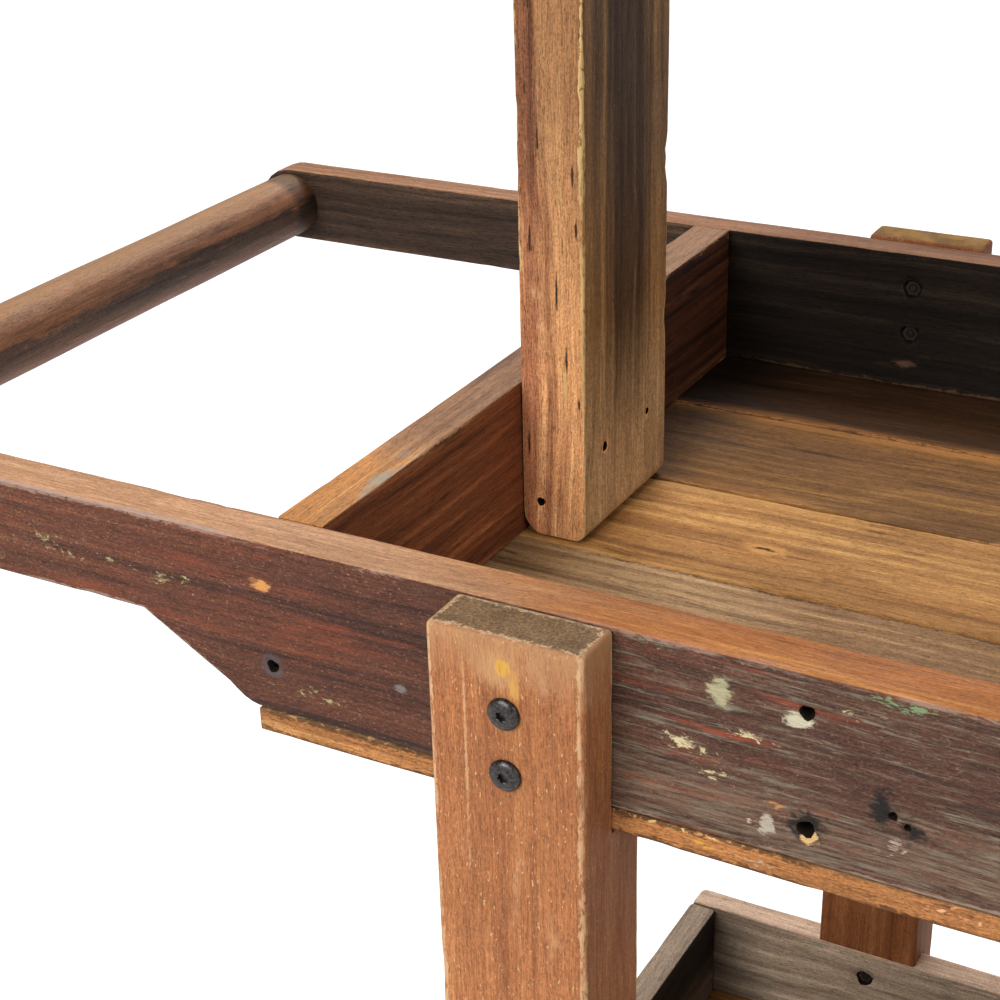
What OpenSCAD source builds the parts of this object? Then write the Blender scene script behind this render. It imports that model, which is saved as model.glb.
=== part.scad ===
// Potting bench in reclaimed hardwood, built like a barrow: two open trays on four legs, a round
// handle bar at the left end, two wheels at the right end and a shelf on two posts above.
// X runs along the bench from the handle to the wheels, Y from front to back, Z is up.
// The origin lies on the ground below the middle of the bench.

/* [Upper tray] */
// Height of the tray's rim above the ground
rim_h = 860; // [780:10:960]
// Inner length of both trays
tray_len = 1050; // [900:10:1300]
// Inner width of both trays
tray_w = 540; // [460:10:620]
// Height of the rails along the tray
rail_h = 100; // [80:1:130]
// Thickness of the front rail
front_rail_t = 30; // [22:1:34]
// Thickness of the back rail
back_rail_t = 25; // [22:1:34]
// Thickness of the end boards
end_board_t = 29; // [20:1:34]
// Thickness of the floor boards
floor_t = 14; // [10:1:22]
// Lines across the tray where its floor boards meet
floor_joints = [-60, 53, 177];
// Gap between two floor boards
floor_gap = 1; // [0.5:0.5:4]

/* [Handle] */
// Depth of the rails where they run on to the handle
handle_rail_h = 58; // [50:1:70]
// Distance from the tray's inner end to the middle of the handle bar
handle_reach = 388; // [300:2:450]
// Radius of the handle bar
handle_r = 25.5; // [18:0.5:28]
// Depth of the housing in each rail that holds the bar's end
handle_housing = 10; // [5:1:15]
// Length of the slope between the two depths of a rail
taper_len = 71; // [40:1:110]

/* [Legs] */
// Width of a leg along the bench
leg_w = 83; // [60:1:100]
// Thickness of the front legs
front_leg_t = 62; // [52:1:70]
// Thickness of the back legs
back_leg_t = 51; // [46:1:70]
// Distance from the tray's inner end to the leg
leg_inset = 97; // [70:1:160]
// Height by which the back legs stand above the rim
back_leg_rise = 2; // [0:0.5:6]

/* [Lower tray] */
// Height of the lower tray's rim above the ground
lower_rim_h = 250; // [200:5:400]
// Height of its side and end boards
lower_side_h = 90; // [70:1:110]
// Thickness of its side and end boards
lower_side_t = 24; // [18:1:30]
// Distance by which its end boards reach past the upper tray's inner end
lower_overhang = 20; // [10:1:60]
// Width of the batten under each floor
batten_w = 60; // [40:1:90]
// Thickness of the batten under each floor
batten_t = 20; // [14:1:30]

/* [Posts and shelf] */
// Height of the shelf's top above the ground
shelf_h = 1560; // [1520:10:1800]
// Width of a post across the bench
post_w = 117; // [90:1:140]
// Thickness of a post along the bench
post_t = 43; // [34:1:60]
// Distance of the posts' middle behind the bench's middle
post_y = 3.5; // [-20:0.5:20]
// Number of shelf planks is three, each of this width
plank_w = 96; // [70:1:130]
// Thickness of a shelf plank
plank_t = 20; // [16:1:28]
// Gap between two shelf planks
plank_gap = 4; // [1:1:10]
// Distance by which the planks reach past the posts
plank_overhang = 20; // [0:5:60]
// Thickness of the shelf's beam, bearers and braces
beam_t = 30; // [24:1:40]
// Height of the shelf's beam and bearers
beam_h = 60; // [45:1:80]
// Length of a brace along the post and along the beam
brace_reach = 240; // [160:10:300]
// Width of a brace where it meets the post and the beam
brace_w = 60; // [40:1:80]

/* [Wheels] */
// Radius of a wheel over its tyre
wheel_r = 120; // [100:1:150]
// Thickness of the iron tyre
tyre_t = 5; // [3:0.5:8]
// Width of the iron tyre
tyre_w = 32; // [26:1:40]
// Thickness of the wheel's boards
wheel_board_t = 30; // [24:1:36]
// Thickness of the battens across the wheel's boards
wheel_batten_t = 12; // [10:1:18]
// Radius of the axle
axle_r = 8; // [6:0.5:10]
// Radial clearance of the bush on the axle
running_gap = 0.05; // [0.02:0.01:0.1]
// Distance from the axle down to the end of a right leg
leg_below_axle = 60; // [40:5:90]

/* [Fasteners] */
// Distance from the rim to the upper bolt of a front leg
front_bolt_drop = 40; // [25:1:50]
// Distance from the rim to the upper bolt of a back leg
back_bolt_drop = 26; // [22:1:50]
// Distance from the lower rim to the upper bolt there
lower_bolt_drop = 26; // [20:1:40]
// Distance between the two bolts of a joint
bolt_gap = 34; // [28:1:40]
// Radius of a bolt's shank
bolt_r = 3; // [2.5:0.5:4]
// Radius of a bolt's low round head
bolt_head_r = 8.5; // [7:0.5:9]
// Height of a bolt's head
bolt_head_h = 3.5; // [3:0.5:5]
// Radius of a wood screw's shank
screw_r = 2.5; // [2:0.25:3]
// Radius of a wood screw's head
screw_head_r = 4.5; // [4:0.25:5.5]

/* [Hidden] */
$fn = 64;

// Ends and sides are chosen by sign: left and front are -1, right and back are 1.
left = -1;
right = 1;
front = -1;
back = 1;
ends = [left, right];
sides = [front, back];

// Colours
weathered_brown = [0.36, 0.22, 0.16];
warm_brown = [0.52, 0.32, 0.20];
golden_brown = [0.55, 0.38, 0.22];
grey_brown = [0.45, 0.36, 0.29];
dark_iron = [0.13, 0.12, 0.12];
screw_steel = [0.45, 0.43, 0.40];

// Places along the bench, measured from its middle
total_len = handle_rail_h / 2 + handle_reach + tray_len + end_board_t;
tray_x = -total_len / 2 + handle_rail_h / 2 + handle_reach;
tray_mid_x = tray_x + tray_len / 2;
handle_x = tray_x - handle_reach;
handle_z = rim_h - handle_rail_h / 2;
half_w = tray_w / 2;
leg_mid = leg_inset + leg_w / 2;

// Heights
floor_top = rim_h - rail_h;
floor_bottom = floor_top - floor_t;
lower_floor_top = lower_rim_h - lower_side_h;
lower_floor_bottom = lower_floor_top - floor_t;
post_top = shelf_h - plank_t;
beam_bottom = post_top - beam_h;
axle_h = wheel_r;

// Wheel: distances outwards from the inner end of its bush
disc_r = wheel_r - tyre_t;
wheel_board_w = 2 * disc_r / 3;
wheel_board_gap = 0.6;
disc_start = 4;
disc_end = disc_start + wheel_board_t;
tyre_start = disc_start - (tyre_w - wheel_board_t) / 2;
bush_len = disc_end + wheel_batten_t;
bush_r = axle_r + running_gap;
bush_wall_r = 16;
flange_r = 34;
flange_t = 3;
flange_screw_r = 26;
wheel_batten_w = 30;
wheel_batten_len = 160;
wheel_batten_x = 60;
wheel_screw_y = 55;

// Axle and what holds the wheels on it
end_gap = 0.5;
front_spacer_len = 3;
wheel_y = half_w + front_leg_t + front_spacer_len + end_gap;
washer_t = 2.5;
washer_r = 16;
spacer_r = 13;
axle_hole_gap = 0.25;
axle_tail = 10;
axle_end = wheel_y + bush_len + end_gap + washer_t + axle_tail;
pin_r = 2;
pin_len = 30;
pin_eye_r = 4;
pin_eye_wire = 1.5;
pin_y = axle_end - axle_tail / 2;

// Fasteners
bolt_hole_r = bolt_r + 0.25;
nut_r = 5.8;
nut_t = 5;
nut_recess_r = 7;
nut_recess = 8;
hex_key_r = 2.3;
hex_key_depth = 2;
screw_recess = 4;
corner_screw_len = 60;
corner_screw_x = 17;
corner_screw_drops = [25, 72];
lower_corner_screw_drops = [22, 66];
floor_screw_len = 40;
batten_screw_len = 28;
rail_screw_places = [0.25, 0.42, 0.58, 0.75];
post_screw_len = 52;
post_screw_drop = 45;
post_screw_y = 30.5;
shelf_screw_len = 45;
shelf_screw_y = 28;
beam_screw_x = 250;
brace_screw_len = 48;
brace_screw_depth = 12;
wheel_screw_len = 36;
flange_screw_len = 20;
through = 1;

function rail_t(side) = side < 0 ? front_rail_t : back_rail_t;
function leg_t(side) = side < 0 ? front_leg_t : back_leg_t;
function middles(edges) = [for (i = [1 : len(edges) - 1]) (edges[i - 1] + edges[i]) / 2];

floor_edges = concat([-half_w - front_rail_t], floor_joints, [half_w + back_rail_t]);
lower_half_w = half_w + lower_side_t;
lower_edges = [for (i = [0 : 4]) (i / 2 - 1) * lower_half_w];
plank_middles = [for (i = [-1 : 1]) post_y + i * (plank_w + plank_gap)];

// ---- Placing ----

// Children are drawn for the left end, with X from the tray's inner end towards its middle
module at_end(end) {
  translate([tray_mid_x, 0, 0])
    mirror([end > 0 ? 1 : 0, 0, 0])
      translate([-tray_len / 2, 0, 0])
        children();
}

// Children are drawn for the back, with Y outwards
module at_side(side) {
  mirror([0, side < 0 ? 1 : 0, 0])
    children();
}

// Children's +Z points outwards along Y
module facing_out(x, y, z) {
  translate([x, y, z])
    rotate([-90, 0, 0])
      children();
}

// Children's +Z points down
module facing_down(x, y, z) {
  translate([x, y, z])
    rotate([180, 0, 0])
      children();
}

// ---- Fasteners ----

// Countersunk wood screw with the top of its head at the origin and its point down
module screw(length) {
  head_h = screw_head_r - screw_r;
  rotate_extrude()
    polygon([
      [0, -length], [screw_r, -length + 2 * screw_r], [screw_r, -head_h],
      [screw_head_r, 0], [0, 0]
    ]);
}

// The space that a screw and the way to its head take out of the wood
module screw_bore(length, depth) {
  screw(length);
  cylinder(r = screw_head_r, h = depth + through);
}

// Bolt with a low round head on the outer face and a hexagon socket
module bolt(length) {
  difference() {
    union() {
      translate([0, 0, -length])
        cylinder(r = bolt_r, h = length);
      cylinder(r1 = bolt_head_r, r2 = bolt_head_r - 1.5, h = bolt_head_h);
    }
    translate([0, 0, bolt_head_h - hex_key_depth])
      cylinder(r = hex_key_r, h = hex_key_depth + through, $fn = 6);
  }
}

// Hexagon nut, from the origin down
module nut() {
  translate([0, 0, -nut_t])
    difference() {
      cylinder(r = nut_r, h = nut_t, $fn = 6);
      translate([0, 0, -through])
        cylinder(r = bolt_r, h = nut_t + 2 * through);
    }
}

function upper_bolt_heights(side) =
  let (drop = side < 0 ? front_bolt_drop : back_bolt_drop)
  [rim_h - drop, rim_h - drop - bolt_gap];
lower_bolt_heights = [lower_rim_h - lower_bolt_drop, lower_rim_h - lower_bolt_drop - bolt_gap];

// Every bolt through the legs at one end and side: children start on the leg's outer face
module at_leg_bolts(end, side, heights) {
  at_end(end)
    at_side(side)
      for (height = heights)
        facing_out(leg_mid, half_w + leg_t(side), height)
          children();
}

// Hole through leg and board, with the recess for the nut in the inner face
module bolt_bore(thickness) {
  translate([0, 0, -thickness - through])
    cylinder(r = bolt_hole_r, h = thickness + 2 * through);
  translate([0, 0, -thickness - through])
    cylinder(r = nut_recess_r, h = nut_recess + through);
}

module side_bolt_bores(side, heights) {
  for (end = ends)
    at_leg_bolts(end, side, heights)
      bolt_bore(leg_t(side));
}

module leg_bolts() {
  color(dark_iron)
    for (end = ends, side = sides)
      at_leg_bolts(end, side, concat(upper_bolt_heights(side), lower_bolt_heights))
        bolt(leg_t(side) - nut_recess + nut_t);
}

module leg_nuts() {
  color(dark_iron)
    for (end = ends, side = sides)
      at_leg_bolts(end, side, concat(upper_bolt_heights(side), lower_bolt_heights))
        translate([0, 0, -leg_t(side) + nut_recess])
          nut();
}

// Screws through the front and back boards into the ends of the cross boards
module at_upper_corners(side) {
  for (end = ends, drop = corner_screw_drops)
    at_end(end)
      at_side(side)
        facing_out(-corner_screw_x, half_w + rail_t(side) - screw_recess, rim_h - drop)
          children();
}

module at_lower_corners(side) {
  for (end = ends, drop = lower_corner_screw_drops)
    at_end(end)
      at_side(side)
        facing_out(
          lower_side_t / 2 - lower_overhang, lower_half_w - screw_recess, lower_rim_h - drop
        )
          children();
}

module at_handle_ends(side) {
  at_side(side)
    facing_out(handle_x, half_w + rail_t(side) - screw_recess, handle_z)
      children();
}

module corner_screws() {
  color(screw_steel)
    for (side = sides) {
      at_upper_corners(side)
        screw(corner_screw_len);
      at_lower_corners(side)
        screw(corner_screw_len);
      at_handle_ends(side)
        screw(corner_screw_len);
    }
}

// Screws up through a floor into the end boards and the side boards above it
module at_floor_screws(edges, side_middles, end_x, bottom) {
  for (end = ends, y = middles(edges))
    at_end(end)
      facing_down(end_x, y, bottom)
        children();
  for (y = side_middles, place = rail_screw_places)
    facing_down(tray_x + place * tray_len, y, bottom)
      children();
}

module at_upper_floor_screws() {
  at_floor_screws(
    floor_edges, [-half_w - front_rail_t / 2, half_w + back_rail_t / 2], -end_board_t / 2,
    floor_bottom
  )
    children();
}

module at_lower_floor_screws() {
  at_floor_screws(
    lower_edges, [-half_w - lower_side_t / 2, half_w + lower_side_t / 2],
    lower_side_t / 2 - lower_overhang, lower_floor_bottom
  )
    children();
}

// Screws up through a batten into each floor board
module at_batten_screws(edges, bottom) {
  for (y = middles(edges))
    facing_down(tray_mid_x, y, bottom - batten_t)
      children();
}

module floor_screws() {
  color(screw_steel) {
    at_upper_floor_screws()
      screw(floor_screw_len);
    at_lower_floor_screws()
      screw(floor_screw_len);
    at_batten_screws(floor_edges, floor_bottom)
      screw(batten_screw_len);
    at_batten_screws(lower_edges, lower_floor_bottom)
      screw(batten_screw_len);
  }
}

// ---- Upper tray ----

// A rail's outline along the bench, with its top edge at height 0
module rail_outline() {
  rail_right = tray_x + tray_len + end_board_t;
  taper_start = tray_x - end_board_t;
  translate([handle_x, -handle_rail_h / 2])
    circle(r = handle_rail_h / 2);
  polygon([
    [handle_x, 0], [rail_right, 0], [rail_right, -rail_h], [taper_start, -rail_h],
    [taper_start - taper_len, -handle_rail_h], [handle_x, -handle_rail_h]
  ]);
}

module rail(side) {
  color(weathered_brown)
    difference() {
      at_side(side)
        translate([0, half_w + rail_t(side), rim_h])
          rotate([90, 0, 0])
            linear_extrude(rail_t(side))
              rail_outline();
      at_side(side)
        facing_out(handle_x, half_w - through, handle_z)
          cylinder(r = handle_r, h = handle_housing + through);
      side_bolt_bores(side, upper_bolt_heights(side));
      at_upper_corners(side)
        screw_bore(corner_screw_len, screw_recess);
      at_handle_ends(side)
        screw_bore(corner_screw_len, screw_recess);
      at_upper_floor_screws()
        screw(floor_screw_len);
    }
}

module end_board(end) {
  color(weathered_brown)
    difference() {
      at_end(end)
        translate([-end_board_t, -half_w, floor_top])
          cube([end_board_t, tray_w, rail_h]);
      for (side = sides)
        at_upper_corners(side)
          screw(corner_screw_len);
      at_upper_floor_screws()
        screw(floor_screw_len);
      at_post_screws(end)
        screw(post_screw_len);
    }
}

module handle_bar() {
  length = tray_w + 2 * handle_housing;
  color(warm_brown)
    difference() {
      facing_out(handle_x, -length / 2, handle_z)
        cylinder(r = handle_r, h = length);
      for (side = sides)
        at_handle_ends(side)
          screw(corner_screw_len);
    }
}

// One of a floor's boards, between two of its joint lines
module plank_between(edges, number, start, end, bottom) {
  low = edges[number - 1] + (number > 1 ? floor_gap / 2 : 0);
  high = edges[number] - (number < len(edges) - 1 ? floor_gap / 2 : 0);
  translate([start, low, bottom])
    cube([end - start, high - low, floor_t]);
}

module floor_board(number) {
  color(golden_brown)
    difference() {
      plank_between(
        floor_edges, number, tray_x - end_board_t, tray_x + tray_len + end_board_t, floor_bottom
      );
      at_upper_floor_screws()
        screw(floor_screw_len);
      at_batten_screws(floor_edges, floor_bottom)
        screw(batten_screw_len);
    }
}

module batten(edges, half_width, bottom) {
  color(warm_brown)
    difference() {
      translate([tray_mid_x - batten_w / 2, -half_width, bottom - batten_t])
        cube([batten_w, 2 * half_width, batten_t]);
      at_batten_screws(edges, bottom)
        screw(batten_screw_len);
    }
}

module tray_batten() {
  batten(floor_edges, half_w, floor_bottom);
}

// ---- Legs ----

module leg(end, side) {
  foot = end < 0 ? 0 : axle_h - leg_below_axle;
  rise = side < 0 ? 0 : back_leg_rise;
  color(warm_brown)
    difference() {
      at_end(end)
        at_side(side)
          difference() {
            translate([leg_inset, half_w, foot])
              cube([leg_w, leg_t(side), rim_h + rise - foot]);
            leg_notch(rail_t(side), floor_bottom, rim_h + rise + through);
            leg_notch(lower_side_t, lower_floor_bottom, lower_rim_h);
          }
      side_bolt_bores(side, upper_bolt_heights(side));
      side_bolt_bores(side, lower_bolt_heights);
      if (end > 0)
        at_axle(side)
          translate([0, 0, -half_w])
            cylinder(r = axle_r + axle_hole_gap, h = 2 * half_w);
    }
}

// Cut in a leg's inner face that takes a side board and the floor's edge below it
module leg_notch(depth, bottom, top) {
  translate([leg_inset - through, half_w - through, bottom])
    cube([leg_w + 2 * through, depth + through, top - bottom]);
}

// ---- Lower tray ----

module lower_side(side) {
  length = tray_len + 2 * lower_overhang;
  color(grey_brown)
    difference() {
      at_side(side)
        translate([tray_mid_x - length / 2, half_w, lower_floor_top])
          cube([length, lower_side_t, lower_side_h]);
      side_bolt_bores(side, lower_bolt_heights);
      at_lower_corners(side)
        screw_bore(corner_screw_len, screw_recess);
      at_lower_floor_screws()
        screw(floor_screw_len);
    }
}

module lower_end(end) {
  color(grey_brown)
    difference() {
      at_end(end)
        translate([-lower_overhang, -half_w, lower_floor_top])
          cube([lower_side_t, tray_w, lower_side_h]);
      for (side = sides)
        at_lower_corners(side)
          screw(corner_screw_len);
      at_lower_floor_screws()
        screw(floor_screw_len);
    }
}

module lower_floor_board(number) {
  color(golden_brown)
    difference() {
      plank_between(
        lower_edges, number, tray_x - lower_overhang, tray_x + tray_len + lower_overhang,
        lower_floor_bottom
      );
      at_lower_floor_screws()
        screw(floor_screw_len);
      at_batten_screws(lower_edges, lower_floor_bottom)
        screw(batten_screw_len);
    }
}

module lower_batten() {
  batten(lower_edges, lower_half_w, lower_floor_bottom);
}

// ---- Posts and shelf ----

// Screws through a post into the end board behind it
module at_post_screws(end) {
  at_end(end)
    for (y = [post_y - post_screw_y, post_y + post_screw_y])
      translate([post_t - screw_recess, y, rim_h - post_screw_drop])
        rotate([0, 90, 0])
          children();
}

// Screws through a bearer into its post
module at_bearer_screws(end) {
  at_end(end)
    for (y = [post_y - post_screw_y, post_y + post_screw_y])
      translate([post_t + beam_t, y, post_top - beam_h / 2])
        rotate([0, 90, 0])
          children();
}

// Screws down through the planks into the bearers, and through the middle plank into the beam
module at_shelf_screws() {
  for (end = ends, middle = plank_middles, y = [middle - shelf_screw_y, middle + shelf_screw_y])
    at_end(end)
      translate([post_t + beam_t / 2, y, shelf_h])
        children();
  for (x = [-beam_screw_x, 0, beam_screw_x])
    translate([tray_mid_x + x, post_y, shelf_h])
      children();
}

// Screws through the two feet of a brace, one into the post and one into the beam
module at_brace_screws(end) {
  at_end(end) {
    translate([post_t + brace_screw_depth, post_y, beam_bottom - brace_reach + brace_w / 2])
      rotate([0, 90, 0])
        children();
    facing_down(post_t + brace_reach - brace_w / 2, post_y, beam_bottom - brace_screw_depth)
      children();
  }
}

module post_screws() {
  color(screw_steel)
    for (end = ends) {
      at_post_screws(end)
        screw(post_screw_len);
      at_bearer_screws(end)
        screw(post_screw_len);
    }
}

module shelf_screws() {
  color(screw_steel)
    at_shelf_screws()
      screw(shelf_screw_len);
}

module brace_screws() {
  color(screw_steel)
    for (end = ends)
      at_brace_screws(end)
        screw(brace_screw_len);
}

module post(end) {
  color(golden_brown)
    difference() {
      at_end(end)
        translate([0, post_y - post_w / 2, floor_top])
          cube([post_t, post_w, post_top - floor_top]);
      at_post_screws(end)
        screw_bore(post_screw_len, screw_recess);
      at_bearer_screws(end)
        screw(post_screw_len);
      at_brace_screws(end)
        screw(brace_screw_len);
    }
}

module bearer(end) {
  length = 3 * plank_w + 2 * plank_gap;
  color(warm_brown)
    difference() {
      at_end(end)
        translate([post_t, post_y - length / 2, beam_bottom])
          cube([beam_t, length, beam_h]);
      at_bearer_screws(end)
        screw(post_screw_len);
      at_shelf_screws()
        screw(shelf_screw_len);
    }
}

module shelf_beam() {
  start = tray_x + post_t + beam_t;
  color(warm_brown)
    difference() {
      translate([start, post_y - beam_t / 2, beam_bottom])
        cube([2 * (tray_mid_x - start), beam_t, beam_h]);
      at_shelf_screws()
        screw(shelf_screw_len);
      for (end = ends)
        at_brace_screws(end)
          screw(brace_screw_len);
    }
}

module brace(end) {
  color(warm_brown)
    difference() {
      at_end(end)
        translate([post_t, post_y + beam_t / 2, beam_bottom])
          rotate([90, 0, 0])
            linear_extrude(beam_t)
              polygon([
                [0, -brace_reach], [brace_reach, 0], [brace_reach - brace_w, 0],
                [0, brace_w - brace_reach]
              ]);
      at_brace_screws(end)
        screw_bore(brace_screw_len, brace_w);
    }
}

module shelf_plank(number) {
  start = tray_x - plank_overhang;
  color(grey_brown)
    difference() {
      translate([start, plank_middles[number - 1] - plank_w / 2, post_top])
        cube([2 * (tray_mid_x - start), plank_w, plank_t]);
      at_shelf_screws()
        screw(shelf_screw_len);
    }
}

// ---- Axle and wheels ----

// Children's +Z points outwards from the inner end of the wheel's bush, along the axle
module at_axle(side) {
  at_end(right)
    at_side(side)
      facing_out(leg_mid, wheel_y, axle_h)
        children();
}

module axle() {
  color(dark_iron)
    difference() {
      at_end(right)
        facing_out(leg_mid, -axle_end, axle_h)
          cylinder(r = axle_r, h = 2 * axle_end);
      for (side = sides)
        at_pin(side)
          translate([0, 0, -pin_len / 2])
            cylinder(r = pin_r, h = pin_len);
    }
}

module at_pin(side) {
  at_end(right)
    at_side(side)
      translate([leg_mid, pin_y, axle_h])
        children();
}

// Ring between a leg and its wheel
module spacer(side) {
  length = wheel_y - end_gap - half_w - leg_t(side);
  color(dark_iron)
    at_axle(side)
      translate([0, 0, -end_gap - length])
        ring(spacer_r, axle_r, length);
}

module ring(outer_r, inner_r, length) {
  difference() {
    cylinder(r = outer_r, h = length);
    translate([0, 0, -through])
      cylinder(r = inner_r, h = length + 2 * through);
  }
}

module axle_washers() {
  color(screw_steel)
    for (side = sides)
      at_axle(side)
        translate([0, 0, bush_len + end_gap])
          ring(washer_r, axle_r, washer_t);
}

module split_pins() {
  color(screw_steel)
    for (side = sides)
      at_pin(side) {
        translate([0, 0, -pin_len / 2])
          cylinder(r = pin_r, h = pin_len);
        translate([0, 0, pin_len / 2 + pin_eye_r - pin_eye_wire / 2])
          rotate([90, 0, 0])
            rotate_extrude()
              translate([pin_eye_r, 0])
                circle(r = pin_eye_wire);
      }
}

// Screws through the battens into the boards
module at_wheel_screws(side) {
  at_axle(side)
    for (x = [-wheel_batten_x, wheel_batten_x], y = [-wheel_screw_y, 0, wheel_screw_y])
      translate([x, y, bush_len])
        children();
}

// Screws through the bush's flange into the middle board
module at_flange_screws(side) {
  at_axle(side)
    for (turn = [45 : 90 : 315])
      rotate([0, 0, turn])
        translate([flange_screw_r, 0, disc_end + flange_t])
          children();
}

// Row is 1 for the upper board, 0 for the middle one and -1 for the lower one
module wheel_board(side, row) {
  color(weathered_brown)
    difference() {
      at_axle(side)
        difference() {
          intersection() {
            translate([0, 0, disc_start])
              cylinder(r = disc_r, h = wheel_board_t);
            translate([-wheel_r, (-row - 0.5) * wheel_board_w + wheel_board_gap / 2, 0])
              cube([2 * wheel_r, wheel_board_w - wheel_board_gap, bush_len]);
          }
          cylinder(r = bush_wall_r, h = bush_len);
        }
      at_wheel_screws(side)
        screw(wheel_screw_len);
      at_flange_screws(side)
        screw(flange_screw_len);
    }
}

module wheel_battens(side) {
  color(warm_brown)
    difference() {
      at_axle(side)
        for (x = [-wheel_batten_x, wheel_batten_x])
          translate([x - wheel_batten_w / 2, -wheel_batten_len / 2, disc_end])
            cube([wheel_batten_w, wheel_batten_len, wheel_batten_t]);
      at_wheel_screws(side)
        screw(wheel_screw_len);
    }
}

module tyre(side) {
  color(dark_iron)
    at_axle(side)
      translate([0, 0, tyre_start])
        ring(wheel_r, disc_r, tyre_w);
}

module bush(side) {
  color(dark_iron)
    difference() {
      at_axle(side)
        difference() {
          union() {
            cylinder(r = bush_wall_r, h = bush_len);
            translate([0, 0, disc_end])
              cylinder(r = flange_r, h = flange_t);
          }
          translate([0, 0, -through])
            cylinder(r = bush_r, h = bush_len + 2 * through);
        }
      at_flange_screws(side)
        screw(flange_screw_len);
    }
}

module wheel_screws(side) {
  color(screw_steel) {
    at_wheel_screws(side)
      screw(wheel_screw_len);
    at_flange_screws(side)
      screw(flange_screw_len);
  }
}

// ---- Nodes ----

rail(front);  // front_rail
rail(back);  // back_rail
end_board(left);  // left_end_board
end_board(right);  // right_end_board
floor_board(1);  // floor_board_1
floor_board(2);  // floor_board_2
floor_board(3);  // floor_board_3
floor_board(4);  // floor_board_4
tray_batten();
handle_bar();
leg(left, front);  // left_front_leg
leg(left, back);  // left_back_leg
leg(right, front);  // right_front_leg
leg(right, back);  // right_back_leg
lower_side(front);  // lower_front_side
lower_side(back);  // lower_back_side
lower_end(left);  // lower_left_end
lower_end(right);  // lower_right_end
lower_floor_board(1);  // lower_floor_board_1
lower_floor_board(2);  // lower_floor_board_2
lower_floor_board(3);  // lower_floor_board_3
lower_floor_board(4);  // lower_floor_board_4
lower_batten();
post(left);  // left_post
post(right);  // right_post
bearer(left);  // left_bearer
bearer(right);  // right_bearer
shelf_beam();
brace(left);  // left_brace
brace(right);  // right_brace
shelf_plank(1);  // shelf_plank_1
shelf_plank(2);  // shelf_plank_2
shelf_plank(3);  // shelf_plank_3
axle();
spacer(front);  // front_spacer
spacer(back);  // back_spacer
axle_washers();
split_pins();
wheel_board(front, -1);  // front_wheel_lower_board
wheel_board(front, 0);  // front_wheel_middle_board
wheel_board(front, 1);  // front_wheel_upper_board
wheel_battens(front);  // front_wheel_battens
tyre(front);  // front_tyre
bush(front);  // front_bush
wheel_screws(front);  // front_wheel_screws
wheel_board(back, -1);  // back_wheel_lower_board
wheel_board(back, 0);  // back_wheel_middle_board
wheel_board(back, 1);  // back_wheel_upper_board
wheel_battens(back);  // back_wheel_battens
tyre(back);  // back_tyre
bush(back);  // back_bush
wheel_screws(back);  // back_wheel_screws
leg_bolts();
leg_nuts();
corner_screws();
floor_screws();
post_screws();
shelf_screws();
brace_screws();
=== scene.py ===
import itertools
import math

import bmesh
import bpy
import numpy as np
from mathutils import Matrix, Vector


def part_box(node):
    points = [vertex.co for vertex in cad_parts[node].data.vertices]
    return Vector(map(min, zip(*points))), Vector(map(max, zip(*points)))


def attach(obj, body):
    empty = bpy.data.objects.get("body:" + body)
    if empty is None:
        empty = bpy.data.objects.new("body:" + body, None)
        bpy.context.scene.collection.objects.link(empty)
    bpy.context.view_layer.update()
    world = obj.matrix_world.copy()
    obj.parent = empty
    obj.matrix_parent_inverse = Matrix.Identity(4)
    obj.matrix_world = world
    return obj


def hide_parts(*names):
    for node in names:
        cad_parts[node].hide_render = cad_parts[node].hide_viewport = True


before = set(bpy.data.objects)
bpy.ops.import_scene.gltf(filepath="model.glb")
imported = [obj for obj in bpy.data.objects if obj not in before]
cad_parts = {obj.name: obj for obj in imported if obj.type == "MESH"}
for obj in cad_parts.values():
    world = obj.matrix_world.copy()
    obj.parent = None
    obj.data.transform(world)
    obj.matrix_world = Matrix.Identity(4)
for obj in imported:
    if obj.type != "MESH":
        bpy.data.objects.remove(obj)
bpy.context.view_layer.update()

MM = 0.001
ALONG_X, ALONG_Y, ALONG_Z = 0, 1, 2

# The corner that places are measured from: the tray's inner left end, on the bench's middle plane, at
# the rim.
CORNER = Vector((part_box("left_end_board")[1][0], 0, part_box("front_rail")[1][2]))


def at(x, y, z):
    """A place in the row frame, from millimetres measured from CORNER."""
    return CORNER + Vector((x, y, z)) * MM


# Front faces, as a Y measured from CORNER: of the front rail and the floor, the front legs and the posts.
RAIL_FACE, LEG_FACE, POST_FACE = -300, -332, -55
INTO_FRONT = (0, 1, 0)

# How far the rails' undersides run up from the tray's left end to the narrow stretch by the handle.
RAIL_SLOPE = 71 * MM
BUSH_WALL_R = 16 * MM
# How far the leg bolts' nuts are below a board's top edge, in millimetres.
FRONT_NUT_DROPS, NUT_DROPS = (40, 74), (26, 60)


def rgb(red, green, blue):
    """A display colour from 0 to 255 as the linear colour that shaders take."""
    def linear(value):
        share = value / 255
        return share / 12.92 if share <= 0.04045 else ((share + 0.055) / 1.055) ** 2.4
    return (linear(red), linear(green), linear(blue))


# ---------------------------------------------------------------- camera, light and floor

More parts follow.
